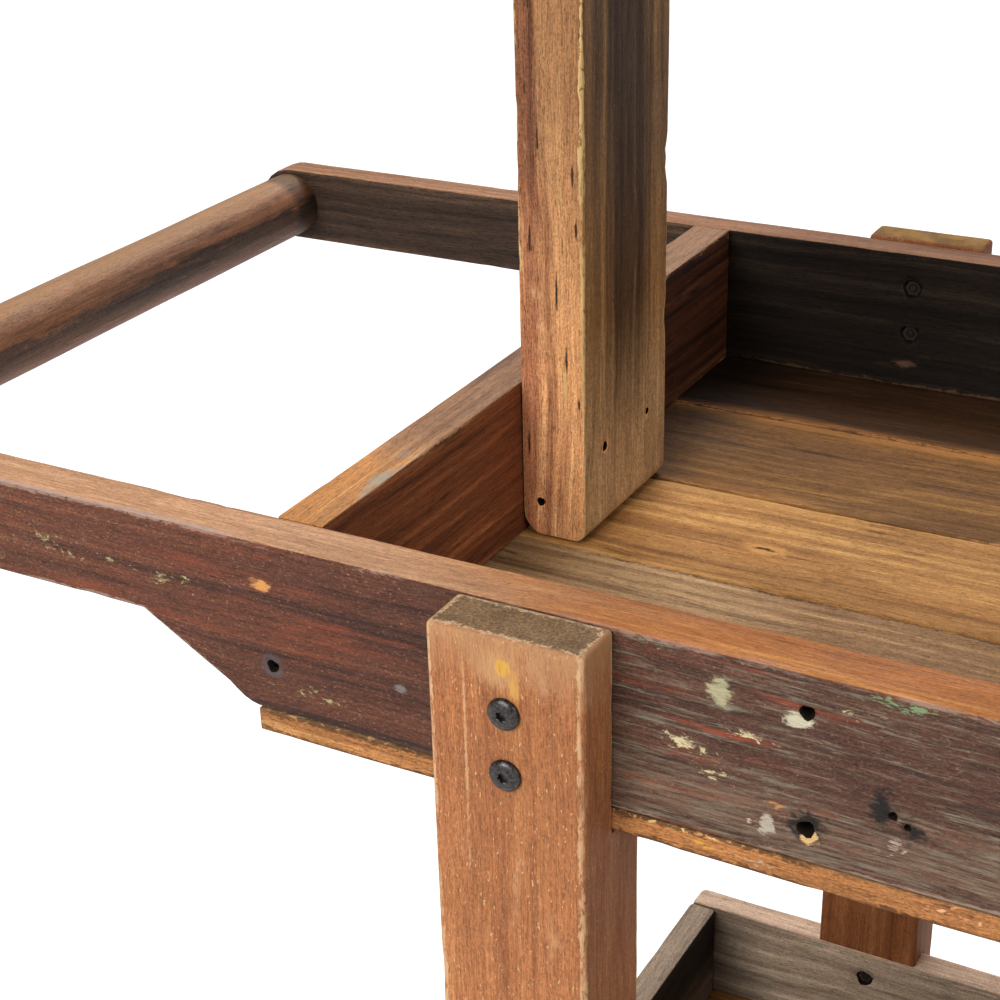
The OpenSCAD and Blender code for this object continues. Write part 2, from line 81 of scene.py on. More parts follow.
def add_camera():
    """The camera looks down on the tray's left end from the front right."""
    yaw, pitch, roll = math.radians(29.36), math.radians(-25.64), math.radians(-1.60)
    ahead = Vector((-math.sin(yaw) * math.cos(pitch), math.cos(yaw) * math.cos(pitch), math.sin(pitch)))
    level = Vector((math.cos(yaw), math.sin(yaw), 0))
    upright = level.cross(ahead)
    right = math.cos(roll) * level + math.sin(roll) * upright
    up = -math.sin(roll) * level + math.cos(roll) * upright
    data = bpy.data.cameras.new("camera")
    data.sensor_width = 36
    data.lens = 70.61
    data.clip_end = 50
    camera = bpy.data.objects.new("camera", data)
    turn = Matrix((right, up, -ahead)).transposed().to_4x4()
    camera.matrix_world = Matrix.Translation(at(522.5, -1012.7, 445.7)) @ turn
    bpy.context.collection.objects.link(camera)
    bpy.context.scene.camera = camera


def add_area_light(name, place, target, size, watts):
    """A round softbox that looks at a target and doesn't show in the picture."""
    data = bpy.data.lights.new(name, "AREA")
    data.shape = "DISK"
    data.size = size
    data.energy = watts
    lamp = bpy.data.objects.new(name, data)
    lamp.visible_camera = False
    lamp.location = place
    lamp.rotation_euler = (Vector(target) - Vector(place)).to_track_quat("-Z", "Y").to_euler()
    bpy.context.collection.objects.link(lamp)


def add_world(horizon, overhead):
    """A plain grey surround that gets lighter towards the horizon."""
    world = bpy.data.worlds.new("studio")
    world.use_nodes = True
    tree = world.node_tree
    direction = tree.nodes.new("ShaderNodeTexCoord").outputs["Generated"]
    height = tree.nodes.new("ShaderNodeSeparateXYZ")
    tree.links.new(direction, height.inputs[0])
    fade = tree.nodes.new("ShaderNodeMapRange")
    fade.interpolation_type = "SMOOTHSTEP"
    tree.links.new(height.outputs[2], fade.inputs["Value"])
    for name, value in (("From Min", 0.0), ("From Max", 0.22), ("To Min", horizon), ("To Max", overhead)):
        fade.inputs[name].default_value = value
    background = tree.nodes["Background"]
    background.inputs["Color"].default_value = (1, 1, 1, 1)
    tree.links.new(fade.outputs["Result"], background.inputs["Strength"])
    bpy.context.scene.world = world


def add_floor():
    """A pale floor that gives some light of its own, so that it stays white."""
    size, steps = 60, 12
    axis = np.linspace(-size / 2, size / 2, steps + 1)
    points = [(x, y, 0) for y in axis for x in axis]
    row = steps + 1
    faces = [
        (j * row + i, j * row + i + 1, (j + 1) * row + i + 1, (j + 1) * row + i)
        for j in range(steps) for i in range(steps)
    ]
    mesh = bpy.data.meshes.new("floor")
    mesh.from_pydata(points, [], faces)
    floor = bpy.data.objects.new("floor", mesh)
    bpy.context.collection.objects.link(floor)
    graph = Graph("floor_paper")
    shade = graph.noise(graph.place * 3, detail=3)
    graph.shader.inputs["Emission Color"].default_value = (1, 1, 1, 1)
    graph.shader.inputs["Emission Strength"].default_value = 0.93
    graph.finish(graph.mix(shade, (0.30, 0.30, 0.30), (0.34, 0.34, 0.34)), 0.9)
    mesh.materials.append(graph.material)


# ---------------------------------------------------------------- material graphs

class Value:
    """A socket of a material's graph. Sums and products of values make the nodes that work them out."""

    def __init__(self, graph, socket):
        self.graph = graph
        self.socket = socket

    def _math(self, kind, other):
        if self.socket.type == "VECTOR":
            return self.graph.vector_math(kind, self, other)
        return self.graph.math(kind, self, other)

    def __add__(self, other):
        return self._math("ADD", other)

    def __sub__(self, other):
        return self._math("SUBTRACT", other)

    def __mul__(self, other):
        return self._math("MULTIPLY", other)

    def __truediv__(self, other):
        return self._math("DIVIDE", other)


class Graph:
    """A material whose colour, roughness and bump come from nodes."""

    def __init__(self, name):
        self.material = bpy.data.materials.new(name)
        self.material.use_nodes = True
        self.tree = self.material.node_tree
        self.shader = self.tree.nodes["Principled BSDF"]
        self.place = Value(self, self.add("ShaderNodeTexCoord").outputs["Object"])

    def add(self, kind, **settings):
        node = self.tree.nodes.new(kind)
        for key, value in settings.items():
            setattr(node, key, value)
        return node

    def put(self, socket, value):
        """Links a value into a socket, or sets a number, a vector or a colour on it."""
        if isinstance(value, Value):
            self.tree.links.new(value.socket, socket)
        elif socket.type == "RGBA":
            socket.default_value = (*value, 1)
        elif socket.type == "VECTOR" and not hasattr(value, "__len__"):
            socket.default_value = (value, value, value)
        else:
            socket.default_value = value

    def math(self, kind, first, second=0.0, clamp=False):
        node = self.add("ShaderNodeMath", operation=kind, use_clamp=clamp)
        self.put(node.inputs[0], first)
        self.put(node.inputs[1], second)
        return Value(self, node.outputs[0])

    def vector_math(self, kind, first, second=0.0):
        node = self.add("ShaderNodeVectorMath", operation=kind)
        self.put(node.inputs[0], first)
        self.put(node.inputs[1], second)
        return Value(self, node.outputs["Value" if kind in ("LENGTH", "DOT_PRODUCT") else "Vector"])

    def split(self, vector):
        node = self.add("ShaderNodeSeparateXYZ")
        self.put(node.inputs[0], vector)
        return [Value(self, output) for output in node.outputs]

    def join(self, x, y, z):
        node = self.add("ShaderNodeCombineXYZ")
        for socket, value in zip(node.inputs, (x, y, z)):
            self.put(socket, value)
        return Value(self, node.outputs[0])

    def noise(self, vector, detail=2.0, roughness=0.5, distortion=0.0):
        node = self.add("ShaderNodeTexNoise")
        self.put(node.inputs["Vector"], vector)
        self.put(node.inputs["Scale"], 1.0)
        self.put(node.inputs["Detail"], detail)
        self.put(node.inputs["Roughness"], roughness)
        self.put(node.inputs["Distortion"], distortion)
        return Value(self, node.outputs["Fac"])

    def attribute(self, name, output="Fac"):
        node = self.add("ShaderNodeAttribute", attribute_name=name)
        return Value(self, node.outputs[output])

    def step(self, value, start, end, low=0.0, high=1.0):
        """Goes smoothly from low to high as value goes from start to end."""
        node = self.add("ShaderNodeMapRange", interpolation_type="SMOOTHSTEP")
        for socket, number in zip(node.inputs, (value, start, end, low, high)):
            self.put(socket, number)
        return Value(self, node.outputs["Result"])

    def mix(self, share, first, second, blend="MIX"):
        node = self.add("ShaderNodeMix", data_type="RGBA", blend_type=blend)
        self.put(node.inputs[0], share)
        self.put(node.inputs[6], first)
        self.put(node.inputs[7], second)
        return Value(self, node.outputs[2])

    def shade(self, colour, amount):
        """Multiplies a colour by a grey amount."""
        return self.mix(1.0, colour, self.join(amount, amount, amount), blend="MULTIPLY")

    def finish(self, colour, roughness, height=None, depth=0.0003):
        """Gives the shader its colour, its roughness and, where there is a height, a bump."""
        self.put(self.shader.inputs["Base Color"], colour)
        self.put(self.shader.inputs["Roughness"], roughness)
        if height is not None:
            bump = self.add("ShaderNodeBump")
            self.put(bump.inputs["Strength"], 1.0)
            self.put(bump.inputs["Distance"], depth)
            self.put(bump.inputs["Height"], height)
            self.tree.links.new(bump.outputs["Normal"], self.shader.inputs["Normal"])
        return self.material


class Wood(Graph):
    """Wood whose grain runs along one axis. Every piece has its own seed, so no two look the same."""

    def __init__(self, name, along, seed, pith=(0.05, 0.09)):
        super().__init__(name)
        parts = self.split(self.place)
        self.x, self.y, self.z = parts
        turned = [parts[(along + number) % 3] for number in range(3)]
        self.grain = self.join(turned[0] + seed * 1.37, turned[1] + seed * 0.61, turned[2] + seed * 0.43)
        sway = (self.noise(self.grain * (5, 9, 9)) - 0.5) * 0.016
        self.wavy = self.grain + self.join(0.0, sway, sway)
        _, across, through = self.split(self.wavy)
        side = across - (seed * 0.61 + pith[0])
        up = through - (seed * 0.43 + pith[1])
        radius = self.vector_math("LENGTH", self.join(side, up, turned[0] * 0.05))
        self.rings = self.noise(self.join(radius * 190, turned[0] * 1.2, 0.0), detail=3, roughness=0.6)
        self.figure = self.noise(self.wavy * (2.5, 130, 130), detail=6, roughness=0.66)
        self.fibre = self.noise(self.wavy * (30, 900, 900), detail=4, roughness=0.8)
        self.pores = self.noise(self.wavy * (170, 1900, 1900), detail=1)
        self.mottle = self.noise(self.grain * (5, 17, 17), detail=4, roughness=0.6)
        self.grime = self.noise(self.grain * (14, 80, 80), detail=6, roughness=0.72)
        self.chips = self.noise(self.grain * (150, 330, 330), detail=4, roughness=0.7, distortion=0.6)
        self.dust = self.noise(self.grain * (560, 900, 900), detail=3, roughness=0.8)
        self.clouds = self.noise(self.grain * (26, 60, 60), detail=5, roughness=0.65)
        self.rim = self.attribute("rim")
        self.facing = self.split(self.attribute("facing", "Vector"))
        self.along = along
        self.height = self.fibre * 0.6 + self.step(self.pores, 0.30, 0.42) * 0.5

    def tones(self, dark, mid, light, contrast=1.0, pore=0.5, grit=0.2):
        """The wood's own colour: growth rings, streaks, fibres, pores, grit and soft patches."""
        blend = self.rings * 0.4 + self.figure * 0.6
        spread = 0.15 / contrast
        colour = self.mix(self.step(blend, 0.5 - spread, 0.5), dark, mid)
        colour = self.mix(self.step(blend, 0.5, 0.5 + spread), colour, light)
        colour = self.shade(colour, self.step(self.fibre, 0.3, 0.7, 0.74, 1.22))
        colour = self.shade(colour, self.step(self.mottle, 0.3, 0.7, 0.82, 1.14))
        colour = self.shade(colour, self.step(self.dust, 0.3, 0.7, 1 - grit, 1 + grit))
        return self.shade(colour, self.step(self.pores, 0.29, 0.36, pore, 1.0))

    def patches(self, colour, other, cover, softness=0.08, signal=None):
        """Another colour over a share of the surface, in ragged patches drawn out along the grain."""
        signal = self.grime if signal is None else signal
        middle = 0.72 - 0.44 * cover
        return self.mix(self.step(signal, middle, middle + softness), colour, other)

    def on_face(self, colour, other, axis, sign, start=0.55, end=0.8):
        """Another colour on the faces that look along one axis."""
        return self.mix(self.step(self.facing[axis] * sign, start, end), colour, other)

    def worn(self, colour, pale, width=0.0015, amount=0.8, cover=0.5):
        """Arrises rubbed back to a paler tone, in stretches that break off unevenly."""
        ragged = self.rim + (self.chips - 0.47) * (7 * width)
        near = self.step(ragged, width, 0.4 * width)
        edge = 0.72 - 0.44 * cover
        stretch = self.step(self.mottle * 0.5 + self.grime * 0.5, edge, edge + 0.06)
        return self.mix(near * stretch * amount, colour, pale)

    def spot(self, colour, centre, size, paint, softness=0.35, ragged=0.5):
        """A patch of filler, stain or knot at one place. Size is its half extent along X, Y and Z."""
        offset = (self.place - tuple(centre)) / tuple(size)
        uneven = (self.grime - 0.5) * (1.2 * ragged) + (self.chips - 0.5) * (2.4 * ragged)
        distance = self.vector_math("LENGTH", offset) + uneven
        return self.mix(self.step(distance, 1.0 + softness / 2, 1.0 - softness / 2), colour, paint)

    def flecks(self, colour, centre, size, paint, cover=0.5):
        """Ragged remains of paint, close together at one place and sparser away from it."""
        offset = (self.place - tuple(centre)) / tuple(size)
        signal = self.chips * 0.6 + self.clouds * 0.4 - self.vector_math("LENGTH", offset) * 0.12
        edge = 0.62 - 0.22 * cover
        return self.mix(self.step(signal, edge, edge + 0.07) * 0.9, colour, paint)

    def drawn(self, colour, kind, y, depth, rows):
        """Draws spots or flecks on a face that looks along Y. kind is the method that draws one.

        rows are (x, z, half length, half height, and what else kind takes), in millimetres.
        """
        for x, z, length, height, *looks in rows:
            colour = kind(colour, at(x, y, z), (length * MM, depth * MM, height * MM), *looks)
        return colour

    def end_grain(self, colour, dark=0.62):
        """End faces are darker, with pores seen end on."""
        speckle = self.noise(self.place * 700, detail=3, roughness=0.75)
        ends = self.math("ABSOLUTE", self.facing[self.along])
        end_colour = self.shade(colour, self.step(speckle, 0.35, 0.65, dark * 0.6, dark * 1.3))
        return self.mix(self.step(ends, 0.6, 0.9), colour, end_colour)

    def done(self, colour, gloss=0.5, depth=0.0004, shine=0.25):
        """Waxed wood: duller in its pores and where the fibres stand up."""
        rough = self.step(self.fibre, 0.2, 0.8, gloss + 0.14, gloss - 0.06)
        rough = rough + self.step(self.grime, 0.35, 0.75) * 0.12
        self.shader.inputs["Specular IOR Level"].default_value = shine
        return self.finish(colour, rough, self.height, depth)


def metal_material(name, dark, light, rust, rust_cover, roughness, metallic):
    """Iron or steel with worn high spots, fine scratches and rust."""
    graph = Graph(name)
    scratch = graph.noise(graph.place * (900, 160, 900), detail=4, roughness=0.7)
    cloud = graph.noise(graph.place * 60, detail=5, roughness=0.65)
    pits = graph.noise(graph.place * 380, detail=3, roughness=0.6)
    colour = graph.mix(graph.step(scratch, 0.3, 0.7), dark, light)
    edge = 0.72 - 0.44 * rust_cover
    rusty = graph.step(cloud * 0.7 + pits * 0.3, edge, edge + 0.1)
    colour = graph.mix(rusty, colour, rust)
    graph.shader.inputs["Metallic"].default_value = metallic
    rough = graph.step(cloud, 0.3, 0.7, roughness - 0.08, roughness + 0.1) + rusty * 0.2
    return graph.finish(colour, rough, pits * 0.7 + scratch * 0.3, 0.0002)


def hole_material():
    """The dark inside of old nail holes."""
    graph = Graph("old_nail_hole")
    soot = graph.noise(graph.place * 700, detail=3)
    graph.shader.inputs["Specular IOR Level"].default_value = 0.08
    return graph.finish(graph.mix(soot, rgb(12, 8, 6), rgb(30, 21, 15)), 0.9, soot)


HOLE = hole_material()
IRON = metal_material("black_iron", rgb(40, 37, 35), rgb(84, 79, 75), rgb(104, 60, 38), 0.3, 0.5, 0.8)
BOLT_BLACK = metal_material(
    "black_steel", rgb(34, 32, 32), rgb(76, 72, 70), rgb(84, 62, 48), 0.06, 0.33, 0.85)
NUT_IRON = metal_material("rusty_nut", rgb(14, 10, 8), rgb(30, 22, 17), rgb(60, 32, 18), 0.45, 0.85, 0.1)
SCREW_STEEL = metal_material(
    "dull_steel", rgb(92, 88, 82), rgb(146, 142, 134), rgb(104, 70, 46), 0.35, 0.45, 0.9)


# ---------------------------------------------------------------- noise for shapes

def cell_values(cells, seed):
    """A repeatable number from -1 to 1 for each cell of a lattice."""
    mixed = cells[:, 0] * 73856093 ^ cells[:, 1] * 19349663 ^ cells[:, 2] * 83492791 ^ seed * 2654435761
    mixed = (mixed ^ (mixed >> 13)) * 1274126177
    mixed = mixed ^ (mixed >> 16)
    return (mixed & 0xFFFF) / 32767.5 - 1


def bumps(points, seed):
    """Smooth noise from -1 to 1 at an array of points, with one bump per unit."""
    base = np.floor(points).astype(np.int64)
    part = points - base
    ease = part * part * (3 - 2 * part)
    total = np.zeros(len(points))
    for corner in itertools.product((0, 1), repeat=3):
        weight = np.prod(np.where(corner, ease, 1 - ease), axis=1)
        total += weight * cell_values(base + np.array(corner), seed)
    return total


def bumps_along(stations, length, seed):
    """Smooth noise from -1 to 1 along a line, with one bump per length."""
    points = np.zeros((len(stations), 3))
    points[:, 0] = stations / length
    points[:, 1] = seed * 0.37
    return bumps(points, seed)


def hollows(points, along, length, width, seed):
    """Smooth noise from 0 to 1 whose bumps are drawn out along one axis."""
    stretch = np.full(3, 1 / width)
    stretch[along] = 1 / length
    return 0.5 + 0.5 * bumps(points * stretch, seed)


# ---------------------------------------------------------------- timbers

ARC_STEPS = 4
# Corner 0 of a section is at high v and low w, and the others follow in ring order.
CORNER_SIGNS = ((1, -1), (1, 1), (-1, 1), (-1, -1))


def corner_arc(corner):
    """Unit vectors round one corner of a rectangle, in ring order."""
    start = -math.pi / 2 + corner * math.pi / 2
    turns = start + np.linspace(0, math.pi / 2, ARC_STEPS + 1)
    return np.stack([np.cos(turns), np.sin(turns)], axis=1)


def timber_rings(sections, step, radii, inset):
    """Points, outward normals and distances from the arris, for each station and each place round it.

    sections holds v0, v1, w0, w1 for each station, radii its four corner radii and inset how far it is
    drawn in.
    """
    v0, v1, w0, w1 = sections.T
    v0, v1, w0, w1 = v0 + inset, v1 - inset, w0 + inset, w1 - inset
    sides = (np.median(w1 - w0), np.median(v1 - v0)) * 2
    centres = [
        np.stack([np.where(sign_v > 0, v1, v0) - sign_v * radius,
                  np.where(sign_w > 0, w1, w0) - sign_w * radius], axis=1)
        for (sign_v, sign_w), radius in zip(CORNER_SIGNS, radii.T)
    ]
    points, normals, rims = [], [], []
    for corner, centre in enumerate(centres):
        following = (corner + 1) % 4
        radius, next_radius = radii[:, corner, None], radii[:, following, None]
        arc = corner_arc(corner)
        for unit in arc:
            points.append(centre + radius * unit)
            normals.append(np.broadcast_to(unit, centre.shape))
            rims.append(np.zeros(len(centre)))
        start = centre + radius * arc[-1]
        end = centres[following] + next_radius * arc[-1]
        length = np.linalg.norm(end - start, axis=1)
        count = max(2, round(sides[corner] / step))
        for share in np.linspace(0, 1, count + 1)[1:-1]:
            points.append(start + (end - start) * share)
            normals.append(np.broadcast_to(arc[-1], centre.shape))
            rims.append(np.minimum(share, 1 - share) * length)
    return np.stack(points, 1), np.stack(normals, 1), np.stack(rims, 1)


def stations_between(places, step, end_radius):
    """Every place, with steps between them and more stations at the rounded ends."""
    found = []
    for start, end in zip(places[:-1], places[1:]):
        found.extend(np.linspace(start, end, max(1, round((end - start) / step)) + 1))
    for share in (0.12, 0.35, 0.65, 1.0):
        found.extend([places[0] + share * end_radius, places[-1] - share * end_radius])
    return np.unique(np.round(found, 7))


def worn_radii(stations, radius, chip, seed, bites):
    """The radius of each arris along a timber: uneven, nicked and worn, and bitten where bites say."""
    radii = np.empty((len(stations), 4))
    for corner in range(4):
        uneven = 1 + 0.4 * bumps_along(stations, 0.05, seed + corner)
        nicks = np.clip(bumps_along(stations, 0.013, seed + 10 + corner) - 0.35, 0, None)
        worn = np.clip(bumps_along(stations, 0.11, seed + 20 + corner), 0, None)
        radii[:, corner] = radius * uneven + chip * (2.2 * nicks + 0.8 * worn)
    for corner, station, half, depth in bites:
        radii[:, corner] += depth * np.exp(-((stations - station) / half) ** 2)
    return radii


def tube_faces(rows, around, closed=False, first=0):
    """Quads round a tube of rows of points, and a cap at each end unless its last row meets its first."""
    faces = []
    for row in range(rows if closed else rows - 1):
        start, following = first + row * around, first + (row + 1) % rows * around
        for place in range(around):
            after = (place + 1) % around
            faces.append((start + place, start + after, following + after, following + place))
    if not closed:
        last = first + (rows - 1) * around
        faces += [tuple(range(first, first + around))[::-1], tuple(range(last, last + around))]
    return faces


# How far the rings of an end face are drawn in, as shares of the way to its middle.
CAP_SHARES = (0.12, 0.3, 0.55, 0.8, 0.96)


def timber(name, along, profile, radius=0.0012, step=0.007, chip=0.0011, wave=0.0004, fibre=0.0002, seed=1,
           end_radius=None, bites=(), mitre=0.0):
    """Old timber: a rectangle carried along the grain, with worn, chipped arrises and uneven faces.

    profile is a list of (station, v0, v1, w0, w1), where v and w are the next two axes after the grain.
    bites are (corner, station, half length, depth) cuts out of an arris. mitre is how far both ends lean
    towards the piece's middle for each unit along w.
    """
    profile = np.array(profile)
    end_radius = radius * 1.3 if end_radius is None else end_radius
    stations = stations_between(profile[:, 0], step, end_radius)
    sections = np.stack([np.interp(stations, profile[:, 0], column) for column in profile.T[1:]], axis=1)
    thinnest = np.minimum(sections[:, 1] - sections[:, 0], sections[:, 3] - sections[:, 2])

    from_end = np.clip(np.minimum(stations - stations[0], stations[-1] - stations), 0, end_radius)
    inset = end_radius - np.sqrt(end_radius ** 2 - (end_radius - from_end) ** 2)
    inset = np.minimum(inset, 0.3 * thinnest)
    radii = worn_radii(stations, radius, chip, seed, bites)
    radii = np.clip(radii - inset[:, None] * 0.4, 0.0003, None)
    radii = np.minimum(radii, 0.45 * (thinnest - 2 * inset)[:, None])

    def cap(row, shares):
        """An end face: rings drawn in step by step, which leave a short line to close."""
        drawn = inset[row] + np.array(shares) * (thinnest[row] / 2 - inset[row])
        small = np.minimum(radii[row], 0.4 * (thinnest[row] - 2 * drawn)[:, None] + 1e-5)
        count = len(shares)
        return np.repeat(stations[row], count), np.repeat(sections[row][None], count, axis=0), small, drawn

    parts = zip(cap(0, CAP_SHARES[::-1]), (stations, sections, radii, inset), cap(-1, CAP_SHARES))
    stations, sections, radii, inset = (np.concatenate(part) for part in parts)
    flat, normals, rims = timber_rings(sections, step, radii, inset)

    rows, around = flat.shape[:2]
    across, through = (along + 1) % 3, (along + 2) % 3
    points = np.empty((rows, around, 3))
    points[..., along] = stations[:, None]
    points[..., across] = flat[..., 0]
    points[..., through] = flat[..., 1]
    tilt = np.clip((inset - 0.05 * end_radius) / (0.9 * end_radius), 0, 1)
    tilt = np.where(inset > 0.3 * end_radius, tilt, 0)[:, None]
    side = np.sqrt(1 - tilt ** 2)
    facing = np.empty((rows, around, 3))
    facing[..., along] = np.where(np.arange(rows) < rows / 2, -1, 1)[:, None] * tilt
    facing[..., across] = normals[..., 0] * side
    facing[..., through] = normals[..., 1] * side
    end_distance = np.minimum(stations - stations[0], stations[-1] - stations)[:, None]
    on_cap = np.zeros((rows, 1), bool)
    on_cap[:len(CAP_SHARES)] = on_cap[-len(CAP_SHARES):] = True
    rims = np.where(on_cap, inset[:, None] - end_radius, np.minimum(rims, end_distance))
    rims = np.clip(rims, 0, None)

    points, facing = points.reshape(-1, 3), facing.reshape(-1, 3)
    hollow = wave * hollows(points, along, 0.3, 0.045, seed + 31)
    hollow += fibre * hollows(points, along, 0.07, 0.011, seed + 32)
    points = points - facing * hollow[:, None]
    if mitre:
        middle, half = (stations[0] + stations[-1]) / 2, (stations[-1] - stations[0]) / 2
        points[:, along] -= mitre * points[:, through] * (points[:, along] - middle) / half
    return make_piece(name, points, tube_faces(rows, around), {"rim": rims.reshape(-1), "facing": facing})


def make_piece(name, points, faces, attributes=None, sharp=50):
    """A smooth-shaded mesh object, with values on its points that its material reads."""
    mesh = bpy.data.meshes.new(name)
    mesh.from_pydata(np.asarray(points).tolist(), [], faces)
    for key, values in (attributes or {}).items():
        kind = "FLOAT_VECTOR" if values.ndim == 2 else "FLOAT"
        layer = mesh.attributes.new(key, kind, "POINT")
        layer.data.foreach_set("vector" if values.ndim == 2 else "value", values.astype(np.float32).ravel())
    mesh.validate()
    mesh.shade_smooth()
    mesh.set_sharp_from_angle(angle=math.radians(sharp))
    piece = bpy.data.objects.new(name, mesh)
    bpy.context.collection.objects.link(piece)
    return piece


def board_profile(node, along):
    """The profile of a straight board that fills a CAD node's box."""
    low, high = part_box(node)
    across, through = (along + 1) % 3, (along + 2) % 3
    rectangle = (low[across], high[across], low[through], high[through])
    return [(low[along], *rectangle), (high[along], *rectangle)]


def place_piece(piece, material, nodes, body="frame"):
    """Gives a piece its material, hides the CAD nodes that it stands for and hangs it on the body that it
    rides on.
    """
    piece.data.materials.append(material)
    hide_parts(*nodes)
    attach(piece, body)


def drill(piece, holes):
    """Cuts old nail and bolt holes. holes are (mouth, direction into the wood, radius, depth)."""
    points, faces = [], []
    sides = 14
    for number, (mouth, direction, radius, depth) in enumerate(holes):
        direction = Vector(direction).normalized()
        side = direction.orthogonal().normalized()
        other = direction.cross(side)
        levels = ((-0.004, 1.12), (0.0, 1.08), (0.35 * depth, 0.92), (depth, 0.7))
        faces += tube_faces(len(levels), sides, first=len(points))
        for reach, share in levels:
            for turn in range(sides):
                angle = 2 * math.pi * turn / sides
                uneven = 1 + 0.1 * math.sin(3 * angle + number) + 0.06 * math.sin(5 * angle + 2 * number)
                arm = radius * share * uneven
                points.append(Vector(mouth) + direction * reach
                              + side * (arm * math.cos(angle)) + other * (arm * math.sin(angle)))
    cutter = make_piece("cutter", [tuple(point) for point in points], faces)
    make_outward(cutter.data)
    cut_out(piece, cutter)


def bore(piece, centre, radius, length):
    """Drills a round hole through a piece along Y."""
    outline = [(-length / 2, radius), (0.0, radius), (length / 2, radius)]
    cut_out(piece, lathe("cutter", outline, ALONG_Y, centre, segments=48, attributes=False))


def cut_out(piece, cutter):
    """Takes a closed shape out of a piece. What the cut lays open gets the material of old holes."""
    cutter.data.materials.append(HOLE)
    cut = piece.modifiers.new("cut", "BOOLEAN")
    cut.operation = "DIFFERENCE"
    cut.solver = "EXACT"
    cut.material_mode = "TRANSFER"
    cut.object = cutter
    graph = bpy.context.evaluated_depsgraph_get()
    mesh = bpy.data.meshes.new_from_object(piece.evaluated_get(graph), depsgraph=graph)
    uncut = piece.data
    piece.modifiers.clear()
    piece.data = mesh
    bpy.data.meshes.remove(uncut)
    bpy.data.objects.remove(cutter)


def make_outward(mesh):
    """Turns a closed mesh's faces so that they look outwards."""
    work = bmesh.new()
    work.from_mesh(mesh)
    bmesh.ops.recalc_face_normals(work, faces=work.faces)
    work.to_mesh(mesh)
    work.free()


# ---------------------------------------------------------------- turned pieces

def lathe(name, outline, along, centre, segments, dent=0.0, seed=3, closed=False, attributes=True):
    """A turned piece. outline holds (station along the axis, radius); closed joins its end to its start."""
    across, through = (along + 1) % 3, (along + 2) % 3
    turns = np.linspace(0, 2 * math.pi, segments, endpoint=False)
    facing = np.zeros((len(outline), segments, 3))
    facing[..., across] = np.cos(turns)
    facing[..., through] = np.sin(turns)
    stations, radii = np.array(outline).T
    points = facing * radii[:, None, None]
    points[..., along] = stations[:, None]
    points = points.reshape(-1, 3) + np.array(centre)
    facing = facing.reshape(-1, 3)
    if dent:
        points -= facing * (dent * hollows(points, along, 0.06, 0.018, seed))[:, None]
    values = {"rim": np.full(len(points), 0.05), "facing": facing} if attributes else None
    piece = make_piece(name, points, tube_faces(len(outline), segments, closed), values, sharp=40)
    make_outward(piece.data)
    return piece


# ---------------------------------------------------------------- wood colours

MAROON = (rgb(38, 24, 18), rgb(76, 44, 31), rgb(104, 61, 42))
SAWN_ORANGE = (rgb(110, 60, 24), rgb(158, 94, 40), rgb(188, 130, 62))
SAWN_PINK = (rgb(108, 73, 51), rgb(136, 96, 71), rgb(158, 117, 87))
LEG_ORANGE = (rgb(118, 70, 39), rgb(143, 89, 52), rgb(162, 108, 64))
BACK_LEG = (rgb(110, 64, 35), rgb(132, 80, 46), rgb(148, 96, 57))
GOLD = (rgb(106, 68, 44), rgb(154, 109, 71), rgb(186, 143, 98))
FLOOR_GOLD = (rgb(98, 62, 33), rgb(151, 105, 57), rgb(184, 137, 79))
FLOOR_GREY = (rgb(110, 82, 56), rgb(162, 128, 90), rgb(200, 165, 122))
FLOOR_BROWN = (rgb(65, 39, 17), rgb(105, 69, 32), rgb(137, 96, 48))
FLOOR_DARK = (rgb(33, 20, 10), rgb(58, 36, 18), rgb(82, 54, 29))
CHARCOAL = (rgb(15, 11, 7), rgb(25, 18, 13), rgb(40, 31, 23))
RED_BROWN = (rgb(64, 31, 16), rgb(118, 65, 37), rgb(160, 97, 58))
GREY_BROWN = (rgb(92, 76, 62), rgb(136, 117, 98), rgb(178, 155, 130))
HANDLE_BROWN = (rgb(78, 47, 27), rgb(118, 75, 46), rgb(151, 103, 65))
DARK_LEG = (rgb(76, 42, 23), rgb(104, 61, 34), rgb(126, 79, 44))
PALE = rgb(178, 141, 97)
PALE_YELLOW = rgb(188, 156, 104)
GREY_GREEN = rgb(96, 88, 69)
CREAM_PAINT = rgb(186, 171, 132)
GREEN_PAINT = rgb(104, 123, 85)
OLIVE_PAINT = rgb(146, 142, 100)
TEAL_PAINT = rgb(84, 108, 88)
FILLER = rgb(178, 133, 57)
WHITEWASH = rgb(178, 170, 152)
NEAR_BLACK = rgb(22, 15, 11)


# Remains of paint on the front rail: x, z, half length, half height in millimetres, colour and cover.
RAIL_FLECKS = (
    (216, -52, 14, 5, CREAM_PAINT, 0.8), (249, -86, 9, 7, WHITEWASH, 0.5),
    (242, -40, 18, 4, CREAM_PAINT, 0.8), (232, -64, 12, 6, CREAM_PAINT, 0.75),
    (318, -80, 14, 9, rgb(150, 132, 118), 0.6),
    (300, -40, 50, 24, CREAM_PAINT, 0.2), (-120, -34, 90, 18, OLIVE_PAINT, 0.4),
    (290, -14, 40, 8, CREAM_PAINT, 0.3), (20, -84, 60, 8, OLIVE_PAINT, 0.42),
    (-300, -34, 110, 18, OLIVE_PAINT, 0.55), (325, -4, 30, 4, GREEN_PAINT, 0.7),
    (196, -5, 18, 4, GREEN_PAINT, 0.7), (-330, -6, 60, 6, GREEN_PAINT, 0.6),
    (262, -72, 14, 4, rgb(160, 108, 62), 0.6),
)
